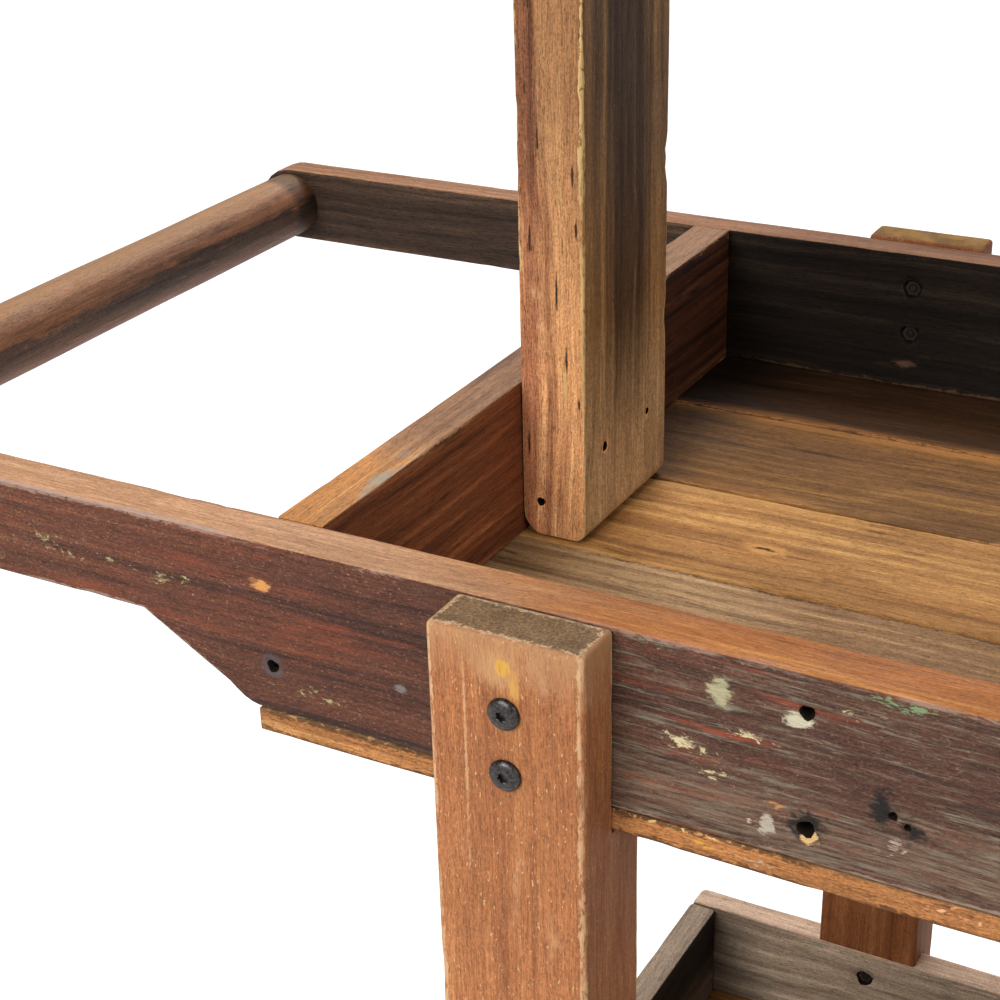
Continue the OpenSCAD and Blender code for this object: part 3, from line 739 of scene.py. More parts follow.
# Filler and stains on the front rail: the same measures, then colour, softness and raggedness.
RAIL_SPOTS = (
    (233, -20, 4.5, 6.5, rgb(146, 138, 106), 1.0, 1.5), (-17, -72, 6, 6, rgb(70, 60, 60), 0.8, 0.9),
    (271, -25, 5, 3.6, rgb(166, 158, 134), 0.7, 1.2), (312, -60, 5, 8, NEAR_BLACK, 0.9, 1.6),
    (326, -68, 5, 5, NEAR_BLACK, 0.9, 1.4), (277, -80, 8, 7, NEAR_BLACK, 0.9, 1.2),
    (279, -85, 3.4, 4.4, rgb(184, 150, 98), 0.5, 1.4), (61, -65, 3.5, 2.5, rgb(104, 98, 92), 0.6, 0.7),
    (-20, -25, 6, 3, rgb(176, 122, 66), 0.5, 0.9), (-25, -23, 3, 2, rgb(126, 84, 50), 0.5, 0.9),
    (258, -85, 4, 5, rgb(150, 140, 124), 0.5, 1.2),
)


def rail_by_handle(wood, red):
    """The front rail's face towards the handle: dusty red-brown, greener at its end."""
    colour = wood.tones(rgb(46, 25, 17), rgb(80, 44, 29), rgb(102, 60, 40), contrast=0.9, grit=0.4)
    colour = wood.patches(colour, rgb(110, 52, 29), 0.42, 0.22, red)
    colour = wood.patches(colour, rgb(52, 36, 31), 0.3, 0.24)
    colour = wood.patches(colour, rgb(150, 124, 106), 0.24, 0.14, wood.dust)
    near_end = wood.step(wood.x, CORNER.x - 0.12, CORNER.x - 0.27)
    specks = wood.step(wood.chips * 0.6 + wood.dust * 0.4, 0.55, 0.63)
    return wood.mix(near_end * specks * 0.8, colour, rgb(126, 118, 84))


def rail_by_tray(wood, red):
    """The front rail's face along the tray: dark, with weathered streaks, most of them low down."""
    streaks = wood.noise(wood.wavy * (24, 460, 460) + 3.0, detail=5, roughness=0.8)
    low = wood.step(wood.z + (wood.clouds - 0.5) * 0.04, CORNER.z - 0.05, CORNER.z - 0.085)
    colour = wood.tones(rgb(40, 27, 21), rgb(73, 45, 33), rgb(100, 64, 46), contrast=0.8, grit=0.4)
    colour = wood.patches(colour, rgb(122, 55, 32), 0.4, 0.16, red)
    colour = wood.mix(low * wood.step(streaks, 0.38, 0.6) * 0.6, colour, rgb(112, 94, 76))
    colour = wood.patches(colour, rgb(108, 100, 84), 0.5, 0.18, streaks)
    colour = wood.patches(colour, rgb(36, 26, 22), 0.34, 0.2)
    return wood.patches(colour, rgb(140, 120, 102), 0.2, 0.12, wood.dust)


def rail_top(wood, red, place):
    """The front rail's sawn top edge: pale by the handle, orange along the tray, with a lilac front arris."""
    orange = wood.tones(*SAWN_ORANGE, contrast=0.9, pore=0.7)
    orange = wood.patches(orange, rgb(196, 136, 70), 0.3, 0.2, red)
    pale = wood.tones(rgb(128, 88, 60), rgb(168, 124, 90), rgb(190, 148, 112), contrast=0.9, pore=0.7)
    pale = wood.patches(pale, rgb(176, 116, 66), 0.3, 0.2, red)
    top = wood.mix(wood.step(place, CORNER.x + 0.04, CORNER.x + 0.2), pale, orange)
    front_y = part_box("front_rail")[0][1]
    lilac = wood.step(wood.y + (wood.grime - 0.5) * 0.01, front_y + 0.005, front_y + 0.0015)
    return wood.mix(lilac * wood.step(wood.mottle, 0.42, 0.56) * 0.7, top, rgb(140, 122, 118))


def front_rail_wood():
    """Red-brown and dusty towards the handle; dark, streaked and spotted with old paint towards the tray."""
    wood = Wood("front_rail_wood", ALONG_X, 1)
    red = wood.noise(wood.wavy * (9, 120, 120) + 7.0, detail=5, roughness=0.7)
    place = wood.x + (wood.mottle - 0.5) * 0.2
    by_tray = wood.step(place, CORNER.x + 0.02, CORNER.x + 0.19)
    colour = wood.mix(by_tray, rail_by_handle(wood, red), rail_by_tray(wood, red))
    colour = wood.drawn(colour, wood.flecks, RAIL_FACE, 30, RAIL_FLECKS)
    colour = wood.drawn(colour, wood.spot, RAIL_FACE, 30, RAIL_SPOTS)
    colour = wood.worn(colour, rgb(142, 118, 104), 0.0009, 0.6, 0.6)
    colour = wood.on_face(colour, rail_top(wood, red, place), ALONG_Z, 1)
    colour = wood.on_face(colour, wood.tones(*GREY_BROWN), ALONG_Y, 1)
    return wood.done(wood.end_grain(colour), 0.55, shine=0.2)


def back_rail_wood():
    """Nearly black inside the tray and a little browner along the handle."""
    wood = Wood("back_rail_wood", ALONG_X, 2)
    dark = wood.tones(*CHARCOAL, contrast=1.2)
    dark = wood.patches(dark, rgb(62, 44, 31), 0.25, 0.2)
    dark = wood.patches(dark, rgb(66, 62, 50), 0.12, 0.3, wood.clouds)
    brown = wood.tones(rgb(30, 21, 16), rgb(51, 37, 28), rgb(75, 56, 43))
    colour = wood.mix(wood.step(wood.x, CORNER.x, CORNER.x - 0.02), dark, brown)
    colour = wood.spot(colour, at(137, 270, -82), (0.007, 0.01, 0.0025), rgb(88, 62, 48), 1.0, 1.2)
    colour = wood.worn(colour, rgb(96, 71, 50), 0.0015, 0.6)
    colour = wood.on_face(colour, wood.tones(*SAWN_PINK, contrast=0.9, pore=0.7), ALONG_Z, 1)
    colour = wood.on_face(colour, wood.tones(*MAROON), ALONG_Y, 1)
    return wood.done(wood.end_grain(colour), 0.6, shine=0.12)


def plain_wood(name, along, seed, tones, weather=None, share=0.3, contrast=1.0):
    """Wood for the pieces that are much the same all over, with weathered patches over a share of them."""
    wood = Wood(name, along, seed)
    colour = wood.tones(*tones, contrast=contrast)
    if weather is not None:
        colour = wood.patches(colour, weather, share, 0.16)
    colour = wood.worn(colour, PALE, 0.0015, 0.7, 0.4)
    return wood.done(wood.end_grain(colour))


# For each floor board, from the front: its tones, darker towards the back partly as painted shade of the back
# rail, its blotches, its worn arrises, the wood along its seams, and how much of its light is left at the end
# board, where dirt and painted shadow lie.
FLOOR_LOOKS = (
    (FLOOR_GREY, rgb(176, 130, 72), rgb(50, 33, 20), None, 0.9),
    (FLOOR_GOLD, rgb(116, 70, 32), rgb(178, 132, 78), FLOOR_GOLD[2], 0.85),
    (FLOOR_BROWN, rgb(148, 100, 48), rgb(166, 118, 74), rgb(170, 116, 60), 0.38),
    (FLOOR_DARK, rgb(44, 26, 12), rgb(160, 106, 58), rgb(158, 104, 52), 0.3),
)
# Remains of paint and dirt on the front board's edge, below the rail.
STRIP_FLECKS = (
    (205, -101, 50, 2, rgb(204, 173, 109), 0.85), (226, -106, 8, 4, rgb(186, 135, 51), 0.8),
    (254, -107, 12, 6, rgb(150, 140, 122), 0.6), (352, -106, 26, 7, rgb(206, 150, 116), 0.75),
    (110, -107, 60, 5, rgb(78, 50, 32), 0.6), (300, -108, 40, 5, rgb(92, 54, 32), 0.6),
)


def front_board_colours(wood, colour):
    """Browner to the right, flecked with whitewash, and warm along the edge that shows below the rail."""
    browner = wood.step(wood.x + (wood.mottle - 0.5) * 0.2, CORNER.x + 0.12, CORNER.x + 0.22)
    brown = wood.tones(rgb(80, 55, 37), rgb(126, 93, 62), rgb(163, 126, 87), grit=0.3)
    colour = wood.mix(browner, colour, brown)
    colour = wood.flecks(colour, at(225, -240, -100), (0.05, 0.02, 0.03), rgb(200, 184, 150), 0.42)
    edge = wood.tones(rgb(102, 62, 34), rgb(150, 99, 57), rgb(194, 143, 87), grit=0.3)
    edge = wood.drawn(edge, wood.flecks, RAIL_FACE, 10, STRIP_FLECKS)
    return wood.on_face(colour, edge, ALONG_Y, -1)


def floor_board_wood(number):
    """The front board is grey with old whitewash, and the others get darker towards the back, partly as
    painted shade of the back rail.
    """
    tones, blotch, arris, seam, dirt_and_shadow = FLOOR_LOOKS[number - 1]
    wood = Wood(f"floor_board_{number}_wood", ALONG_X, 5 + number)
    colour = wood.tones(*tones, grit=0.24)
    colour = wood.patches(colour, blotch, 0.42, 0.3, wood.clouds * 0.5 + wood.mottle * 0.5)
    colour = wood.patches(colour, rgb(84, 58, 36), 0.3, 0.16)
    if number == 1:
        colour = front_board_colours(wood, colour)
    else:
        near_seam = wood.step(wood.rim + (wood.figure - 0.5) * 0.03, 0.012, 0.001)
        colour = wood.mix(near_seam * wood.step(wood.mottle, 0.42, 0.6) * 0.6, colour, seam)
    # Dirt and painted shadow: darker towards the end board, most on the back boards behind the post.
    from_end = wood.x + (wood.grime - 0.5) * 0.06
    reach = 0.02 + 0.018 * number
    colour = wood.shade(colour, wood.step(from_end, CORNER.x + 0.015, CORNER.x + reach, dirt_and_shadow, 1.0))
    if number == 2:
        knot = at(144, -12, -100)
        colour = wood.spot(colour, knot, (0.014, 0.007, 0.02), rgb(184, 132, 74), 0.9, 0.8)
        colour = wood.spot(colour, knot, (0.008, 0.002, 0.02), rgb(66, 42, 26), 0.9, 1.8)
    colour = wood.worn(colour, arris, 0.0016, 0.7, 0.6)
    return wood.done(wood.end_grain(colour), 0.58, shine=0.12)


def end_board_wood(name, seed):
    """Red-brown with painted shade that darkens it towards the back, behind the post, and a sawn top edge
    that is orange by the front rail.
    """
    wood = Wood(name, ALONG_Y, seed)
    colour = wood.tones(*RED_BROWN, contrast=1.2)
    colour = wood.patches(colour, rgb(38, 21, 12), 0.42, 0.2)
    # Painted shade: from the post's front face towards the back the colour falls to 0.42, for the shade
    # behind the post.
    colour = wood.shade(colour, wood.step(wood.y, -0.05, 0.06, 1.0, 0.42))
    top = wood.tones(rgb(92, 58, 34), rgb(129, 89, 56), rgb(154, 114, 78))
    orange = wood.tones(rgb(124, 76, 36), rgb(172, 114, 56), rgb(194, 142, 82))
    stripes = wood.noise(wood.grain * (22, 150, 70) + 5.0, detail=4, roughness=0.6)
    orange = wood.patches(orange, rgb(146, 130, 108), 0.46, 0.14, stripes)
    top = wood.mix(wood.step(wood.y + (wood.clouds - 0.5) * 0.1, -0.14, -0.20), top, orange)
    colour = wood.worn(colour, PALE, 0.0012, 0.7)
    colour = wood.on_face(colour, top, ALONG_Z, 1)
    return wood.done(wood.end_grain(colour))


# Old filler and bare patches on a front leg, above its bolts, and a long scratch down its face.
LEG_SPOTS = (
    (134, -17, 10, 9, rgb(162, 120, 80), 1.4, 0.6), (144, -25, 2.4, 7, rgb(172, 126, 66), 1.0, 0.8),
    (138, -15.7, 3.8, 4.2, FILLER, 0.4, 0.5), (117, -60, 0.6, 50, rgb(168, 126, 88), 0.9, 1.8),
)


def front_leg_wood(name, seed):
    """Orange-brown with pale specks, with painted shade on its right side below the rail, and rough
    grey-brown end grain on top.
    """
    wood = Wood(name, ALONG_Z, seed)
    colour = wood.tones(*LEG_ORANGE, contrast=0.8, pore=0.7, grit=0.26)
    red = wood.noise(wood.grain * (60, 330, 330), detail=4, roughness=0.75)
    colour = wood.patches(colour, rgb(122, 64, 38), 0.34, 0.2, red)
    colour = wood.patches(colour, rgb(172, 128, 92), 0.36, 0.3, wood.clouds)
    specks = wood.noise(wood.grain * (300, 800, 800), detail=2)
    colour = wood.patches(colour, rgb(184, 146, 104), 0.14, 0.08, specks)
    near_top = wood.step(wood.z + (wood.clouds - 0.5) * 0.06, CORNER.z - 0.035, CORNER.z)
    colour = wood.mix(near_top * 0.6, colour, rgb(160, 120, 84))
    # Painted shade: below the rail the right side is darker, times 0.86, over a redder tint that is the
    # wood's own.
    lower = wood.shade(wood.patches(colour, rgb(116, 58, 28), 0.6, 0.4), 0.86)
    shaded_right_side = wood.step(wood.facing[0], 0.5, 0.8)
    colour = wood.mix(shaded_right_side * wood.step(wood.z, CORNER.z - 0.06, CORNER.z - 0.12), colour, lower)
    colour = wood.drawn(colour, wood.spot, LEG_FACE, 10, LEG_SPOTS)
    colour = wood.worn(colour, rgb(186, 150, 112), 0.0007, 0.7, 0.55)
    end = wood.noise(wood.place * 420, detail=6, roughness=0.75) * 0.6 + wood.clouds * 0.4
    end = wood.mix(wood.step(end, 0.34, 0.66), rgb(88, 66, 42), rgb(132, 102, 70))
    end = wood.worn(end, rgb(184, 154, 118), 0.0016, 0.8, 0.7)
    colour = wood.on_face(colour, end, ALONG_Z, 1, 0.6, 0.9)
    return wood.done(wood.end_grain(colour, 1.0), 0.58, shine=0.2)


def back_leg_wood(name, seed):
    """Plain brown, with a waxed yellow-brown top end."""
    wood = Wood(name, ALONG_Z, seed)
    colour = wood.worn(wood.tones(*BACK_LEG), PALE, 0.0015, 0.7, 0.4)
    end = wood.mix(wood.step(wood.clouds, 0.35, 0.65), rgb(104, 74, 30), rgb(144, 104, 46))
    colour = wood.on_face(colour, end, ALONG_Z, 1, 0.4, 0.7)
    return wood.done(colour, 0.6, shine=0.15)


# Short dark cracks in the front face of a post, and one pale streak.
POST_SPOTS = (
    *((x, z, 0.7, length, rgb(52, 33, 22), 0.9, 0.9) for x, z, length in (
        (36, 132, 6), (25, 62, 12), (31, 20, 8), (39, -8, 4), (8, 90, 10), (14, 150, 9), (5, -40, 7),
        (38, 100, 5))),
    (30, 0, 0.8, 14, PALE_YELLOW, 0.7, 0.8),
)
POST_FLECKS = ((12, -88, 14, 10, rgb(190, 160, 110), 0.62), (40, -60, 6, 40, rgb(206, 178, 130), 0.55))


def post_wood(name, seed, inner_sign):
    """Golden on its narrow faces, dark in the middle of the wide face that looks into the tray, and
    brightened towards its foot by painted light.
    """
    wood = Wood(name, ALONG_Z, seed)
    foot = CORNER.z - 0.1
    colour = wood.tones(*GOLD, contrast=0.8, pore=0.42, grit=0.3)
    brown = wood.tones(rgb(84, 50, 34), rgb(126, 80, 54), rgb(152, 102, 70), pore=0.25, grit=0.34)
    left = (wood.x - CORNER.x) * inner_sign + (wood.figure - 0.5) * 0.06 + (wood.mottle - 0.5) * 0.09
    colour = wood.mix(wood.step(left, 0.006, 0.030), brown, colour)
    colour = wood.patches(colour, rgb(120, 74, 48), 0.3, 0.24)
    colour = wood.patches(colour, rgb(198, 162, 116), 0.24, 0.3, wood.clouds)
    # Painted light: the colour goes from 0.76 times high up to 2.15 times at the foot, against the shade of
    # the tray's walls.
    colour = wood.shade(colour, wood.step(wood.z, foot + 0.3, foot, 0.76, 2.15))
    colour = wood.on_face(colour, post_inner_face(wood, foot), ALONG_X, inner_sign)
    colour = wood.drawn(colour, wood.spot, POST_FACE, 12, POST_SPOTS)
    colour = wood.drawn(colour, wood.flecks, POST_FACE, 12, POST_FLECKS)
    colour = wood.flecks(colour, at(43, -27, -58), (0.012, 0.003, 0.012), rgb(150, 120, 80), 0.6)
    colour = wood.worn(colour, PALE_YELLOW, 0.0006, 0.85, 0.6)
    return wood.done(wood.end_grain(colour), 0.6, shine=0.12)


def post_inner_face(wood, foot):
    """Stained dark along its middle. Lower down, painted light bounced from the tray's floor brightens it,
    and near the floor it turns pale, partly its own paler wood and partly painted bounced light.
    """
    middle = wood.math("ABSOLUTE", wood.y - 0.0035) + (wood.figure - 0.5) * 0.08
    stained = wood.tones(rgb(46, 31, 19), rgb(74, 51, 31), rgb(106, 76, 46), grit=0.3)
    edges = wood.tones(rgb(82, 57, 33), rgb(118, 85, 50), rgb(148, 110, 68), grit=0.3)
    colour = wood.mix(wood.step(middle, 0.014, 0.044), stained, edges)
    # Painted bounced light: brighter downwards, from 0.82 to 1.5 times, as if lit from the tray's floor.
    colour = wood.shade(colour, wood.step(wood.z, foot + 0.28, foot + 0.1, 0.82, 1.5))
    # The pale tone by the floor is partly the wood's own and partly painted light bounced from the tray's
    # floor.
    pale = wood.tones(rgb(146, 115, 79), rgb(190, 153, 110), rgb(218, 183, 138), grit=0.34)
    low = wood.z + (wood.mottle - 0.5) * 0.08 - middle * 0.5
    colour = wood.mix(wood.step(low, foot + 0.13, foot + 0.01), colour, pale)
    return wood.patches(colour, rgb(190, 154, 106), 0.1, 0.1, wood.chips)


def handle_wood():
    """Round bar with a painted sheen that pales its top, and a dark speckled band round its lower half that
    is partly grime and partly painted shade. Below the band it is lighter again with painted light bounced
    from the floor, and its ends are darker with stain and painted contact shadow.
    """
    wood = Wood("handle_wood", ALONG_Y, 81)
    colour = wood.tones(*HANDLE_BROWN, contrast=0.9, grit=0.24)
    colour = wood.patches(colour, rgb(150, 92, 62), 0.36, 0.24, wood.clouds)
    # Painted sheen: faces that look up are mixed halfway to a pale tan.
    colour = wood.mix(wood.step(wood.facing[2], 0.7, 1.0) * 0.5, colour, rgb(172, 132, 94))
    # Grime and painted shade: a dark speckled band round the lower half. Below it, a lighter red-brown stands
    # partly for painted light bounced up from the floor.
    grime_and_shade = wood.tones(rgb(44, 31, 24), rgb(72, 50, 37), rgb(98, 68, 48), grit=0.34)
    grime_and_shade = wood.patches(grime_and_shade, rgb(140, 118, 76), 0.2, 0.1, wood.chips)
    under = wood.tones(rgb(70, 42, 28), rgb(106, 66, 45), rgb(132, 86, 60), grit=0.3)
    height = wood.facing[2] + (wood.figure - 0.5) * 0.8 + (wood.clouds - 0.5) * 0.5
    low = wood.mix(wood.step(height, -0.2, -0.45), grime_and_shade, under)
    colour = wood.mix(wood.step(height, 0.34, 0.16), colour, low)
    # Painted contact shadow and stain: darker over the last 12 mm before each end, where the bar goes into
    # the rails.
    end_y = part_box("handle_bar")[1][1] - 0.03
    near_end = wood.step(wood.math("ABSOLUTE", wood.y), end_y - 0.012, end_y, 1.0, 0.45)
    return wood.done(wood.shade(colour, near_end))


def lower_side_wood(node, seed):
    """Grey-brown with traces of old teal paint, and painted shade that darkens it towards its left end."""
    wood = Wood(node + "_wood", ALONG_X, seed)
    colour = wood.tones(rgb(104, 88, 72), rgb(154, 134, 113), rgb(196, 174, 148), contrast=1.1, grit=0.26)
    colour = wood.patches(colour, rgb(96, 74, 58), 0.4, 0.24)
    colour = wood.patches(colour, TEAL_PAINT, 0.3, 0.2, wood.clouds)
    # Painted shade: darker, down to 0.4 times, in the corner by the lower tray's left end.
    left_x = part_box(node)[0][0]
    from_end = wood.x + (wood.mottle - 0.5) * 0.05
    colour = wood.shade(colour, wood.step(from_end, left_x + 0.02, left_x + 0.09, 0.4, 1.0))
    top = wood.tones(rgb(140, 112, 92), rgb(188, 156, 132), rgb(216, 188, 160), grit=0.24)
    top = wood.patches(top, rgb(150, 138, 110), 0.3, 0.2)
    colour = wood.on_face(wood.worn(colour, PALE, 0.0015, 0.7, 0.4), top, ALONG_Z, 1)
    return wood.done(wood.end_grain(colour), 0.55)


def lower_end_wood(node, seed, inner_sign):
    """Grey-brown outside and on top. Its inner face has painted shade: darker all over, and nearly black in
    its upper part under the upper tray.
    """
    wood = Wood(node + "_wood", ALONG_Y, seed)
    colour = wood.tones(*GREY_BROWN, grit=0.26)
    colour = wood.patches(colour, rgb(84, 62, 48), 0.4, 0.2)
    top_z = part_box(node)[1][2]
    height = wood.z + (wood.mottle - 0.5) * 0.04
    # Painted shade on the inner face: 0.6 times the colour lower down and nearly black near the top, under
    # the upper tray.
    shaded_below = wood.shade(colour, 0.6)
    inner = wood.mix(wood.step(height, top_z - 0.03, top_z - 0.09), wood.tones(*CHARCOAL), shaded_below)
    colour = wood.on_face(wood.worn(colour, PALE, 0.0015, 0.7, 0.4), inner, ALONG_X, inner_sign)
    return wood.done(wood.end_grain(colour), 0.55)


# ---------------------------------------------------------------- wooden pieces

def make_rail(node, seed, material, holes):
    """Board on edge that narrows towards the handle and ends in a half round."""
    low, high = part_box(node)
    handle_low, handle_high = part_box("handle_bar")
    handle_x = (handle_low[0] + handle_high[0]) / 2
    faces = (low[1], high[1])
    top = high[2]
    bulge = handle_x - low[0]
    middle = top - bulge
    slope_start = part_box("left_end_board")[0][0]
    slope_end = slope_start - RAIL_SLOPE
    profile = []
    for turn in np.radians([4, 12, 22, 34, 48, 64, 80, 90]):
        rise = bulge * math.sin(turn)
        profile.append((handle_x - bulge * math.cos(turn), *faces, middle - rise, middle + rise))
    for share in np.linspace(0, 1, 17):
        late = max(0.0, share / 0.25 - 3)
        drop = share if late == 0 else 0.75 + 0.25 * (1.5 * late - 0.5 * late ** 3)
        bottom = top - 2 * bulge - drop * (top - low[2] - 2 * bulge)
        profile.append((slope_end + share * (slope_start - slope_end), *faces, bottom, top))
    profile.append((high[0], *faces, low[2], top))
    piece = timber(node + "_wood", ALONG_X, profile, radius=0.0016, step=0.0065, chip=0.001, seed=seed,
                   end_radius=0.002)
    place_piece(piece, material, [node])
    drill(piece, holes)


def make_board(node, along, material, body="frame", holes=(), **shape):
    """A straight board in the place of a CAD node. shape goes to timber."""
    piece = timber(node + "_wood", along, board_profile(node, along), **shape)
    place_piece(piece, material, [node], body)
    if holes:
        drill(piece, holes)


def plain_board(node, along, seed, tones, looks=None, **shape):
    """A board of plain wood. looks goes to plain_wood and shape to timber."""
    material = plain_wood(node + "_wood", along, seed, tones, **(looks or {}))
    make_board(node, along, material, seed=seed, **shape)


def make_leg(node, material, seed):
    """Square leg, cut in at its inner face for the rail and for the lower tray's side."""
    word, outer_end = ("front", 0) if "front" in node else ("back", 1)
    box = low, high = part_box(node)
    outer, inner = box[outer_end][1], box[1 - outer_end][1]
    rail_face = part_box(word + "_rail")[outer_end][1]
    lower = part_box(f"lower_{word}_side")
    lower_face, lower_top = lower[outer_end][1], lower[1][2]
    floor_z, lower_floor_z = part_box("floor_board_1")[0][2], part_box("lower_floor_board_1")[0][2]
    gap = 0.3 * MM
    cuts = [(low[2], inner), (lower_floor_z, inner), (lower_floor_z + gap, lower_face),
            (lower_top, lower_face), (lower_top + gap, inner), (floor_z - gap, inner), (floor_z, rail_face),
            (high[2], rail_face)]
    # For grain along Z the next two axes are X and Y.
    profile = [(z, low[0], high[0], min(outer, y), max(outer, y)) for z, y in cuts]
    piece = timber(node + "_wood", ALONG_Z, profile, radius=0.0024, step=0.007, chip=0.0012, seed=seed,
                   end_radius=0.003)
    place_piece(piece, material, [node])


def make_left_post(material):
    """The post whose foot stands in the tray: its lower corners are rounded and one arris is bitten."""
    low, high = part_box("left_post")
    left_round, right_round = 15 * MM, 9 * MM

    def drawn_in(radius, height):
        short = max(0.0, radius - height)
        return radius - math.sqrt(radius ** 2 - short ** 2)

    heights = [left_round * (1 - math.cos(turn)) for turn in np.linspace(0.25, math.pi / 2, 8)]
    profile = [
        (low[2] + height, low[0] + drawn_in(left_round, height), high[0] - drawn_in(right_round, height),
         low[1], high[1])
        for height in [0.4 * MM, *heights]
    ]
    profile.append((high[2], low[0], high[0], low[1], high[1]))
    rim = CORNER.z
    bites = [(1, rim + 0.118, 0.006, 0.004), (1, rim + 0.106, 0.005, 0.004), (1, rim + 0.010, 0.010, 0.003),
             (0, rim + 0.082, 0.0015, 0.0016), (0, rim + 0.145, 0.010, 0.0012)]
    piece = timber("left_post_wood", ALONG_Z, profile, radius=0.0011, step=0.0055, chip=0.0012, seed=71,
                   end_radius=0.001, bites=bites)
    place_piece(piece, material, ["left_post"])
    inner_x, into_inner = 43, (-1, 0, 0)
    drill(piece, [(at(12.5, POST_FACE, -77), INTO_FRONT, 2.6 * MM, 9 * MM),
                  (at(inner_x, -27, -45), into_inner, 3.0 * MM, 5 * MM),
                  (at(inner_x, 34, -45), into_inner, 2.2 * MM, 5 * MM)])


def make_brace(node, sign, material):
    """Diagonal strut with mitred ends, from the post to the beam. sign is 1 where it leans to the right."""
    low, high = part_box(node)
    foot = 60 * MM
    reach = high[0] - low[0]
    width = foot / math.sqrt(2)
    length = math.sqrt(2) * reach - width
    half_t = (high[1] - low[1]) / 2
    profile = [(place, -half_t, half_t, -width / 2, width / 2) for place in (-length / 2, length / 2)]
    piece = timber(node + "_wood", ALONG_X, profile, radius=0.0015, step=0.007, seed=91 + sign, mitre=1.0,
                   end_radius=0.001)
    lean = Vector((sign, 0, 1)).normalized()
    side = Vector((0, sign, 0))
    face = lean.cross(side)
    corner = Vector((low[0] if sign > 0 else high[0], (low[1] + high[1]) / 2, high[2]))
    centre = corner + Vector((sign * (reach - foot / 2) / 2, 0, -(reach - foot / 2) / 2))
    piece.matrix_world = Matrix.Translation(centre) @ Matrix((lean, side, face)).transposed().to_4x4()
    place_piece(piece, material, [node])


def make_handle():
    """A round bar that isn't quite even along its length, with its ends in the rails."""
    low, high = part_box("handle_bar")
    centre = ((low[0] + high[0]) / 2, 0, (low[2] + high[2]) / 2)
    radius = (high[0] - low[0]) / 2
    end_radius = radius - 2 * MM
    stations = np.linspace(low[1], high[1], 90)
    widths = radius * (0.99 + 0.008 * bumps_along(stations, 0.09, 5))
    outline = [(low[1], end_radius), *zip(stations, widths), (high[1], end_radius)]
    piece = lathe("handle_bar_wood", outline, ALONG_Y, centre, segments=72, dent=0.0005, seed=9)
    place_piece(piece, handle_wood(), ["handle_bar"])


# ---------------------------------------------------------------- fasteners

def solids_of(node):
    """The points of each separate solid in a CAD node."""
    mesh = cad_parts[node].data
    points = np.empty(len(mesh.vertices) * 3)
    mesh.vertices.foreach_get("co", points)
    points = points.reshape(-1, 3)
    _, group = np.unique(np.round(points / (0.01 * MM)).astype(int), axis=0, return_inverse=True)
    group = group.reshape(-1)
    edges = np.empty(len(mesh.edges) * 2, np.int32)
    mesh.edges.foreach_get("vertices", edges)
    edges = group[edges].reshape(-1, 2)
    label = np.arange(group.max() + 1)
    while True:
        smallest = label.copy()
        np.minimum.at(smallest, edges[:, 0], label[edges[:, 1]])
        np.minimum.at(smallest, edges[:, 1], label[edges[:, 0]])
        smallest = smallest[smallest]
        if (smallest == label).all():
            return [points[label[group] == number] for number in np.unique(label)]
        label = smallest


def fasteners_of(node):
    """For each screw or bolt: its head's top, the way out of the wood, its length and its head's radius."""
    found = []
    for points in solids_of(node):
        low, high = points.min(axis=0), points.max(axis=0)
        axis = int(np.argmax(high - low))
        middle = (low + high) / 2
        offset = points - middle
        offset[:, axis] = 0
        reach = np.linalg.norm(offset, axis=1)
        ends = [reach[np.abs(points[:, axis] - end[axis]) < 0.3 * MM].max() for end in (low, high)]
        sign = 1 if ends[1] > ends[0] else -1
        middle[axis] = high[axis] if sign > 0 else low[axis]
        out = np.zeros(3)
        out[axis] = sign
        found.append((Vector(middle), Vector(out), high[axis] - low[axis], reach.max()))
    return sorted(found, key=lambda item: tuple(round(value, 4) for value in item[0]))


def cross_slot(turn):
    """The radius of a cross-shaped recess at a turn, as a share of its widest."""
    return 0.34 + 0.66 * abs(math.cos(2 * turn)) ** 5


def six_lobes(turn):
    """The radius of a six-lobed socket at a turn, as a share of its widest."""
    return 0.88 + 0.12 * math.cos(6 * turn)


def bolt_rows(length, head):
    """Rows of (height from the head's top, radius, share of the drive's shape) over a low round head."""
    socket, shank = 0.34 * head, 0.35 * head
    height = 3.5 * MM
    rows = [(-2.2 * MM, 0.8 * socket, 1), (-0.2 * MM, socket, 1), (0.0, 1.12 * socket, 1),
            (0.0, 0.47 * head, 0)]
    for turn in np.radians([25, 40, 55, 70, 82, 90]):
        rows.append((-height * (1 - math.cos(turn)) * 0.86, head * (0.42 + 0.58 * math.sin(turn)), 0))
    return rows + [(-height, 0.985 * head, 0), (-height, shank, 0), (1 * MM - length, shank, 0),
                   (-length, 0.8 * shank, 0)]


def screw_rows(length, head):
    """The same rows for a countersunk screw."""
    shank = 0.55 * head
    return [(-2.0 * MM, 0.2 * head, 1), (-0.15 * MM, 0.56 * head, 1), (0.0, 0.6 * head, 1),
            (0.0, 0.9 * head, 0), (-0.15 * MM, head, 0), (-0.5 * MM, 0.97 * head, 0),
            (shank - head, shank, 0), (0.35 * head - length, 0.92 * shank, 0), (-length, 0.08 * head, 0)]


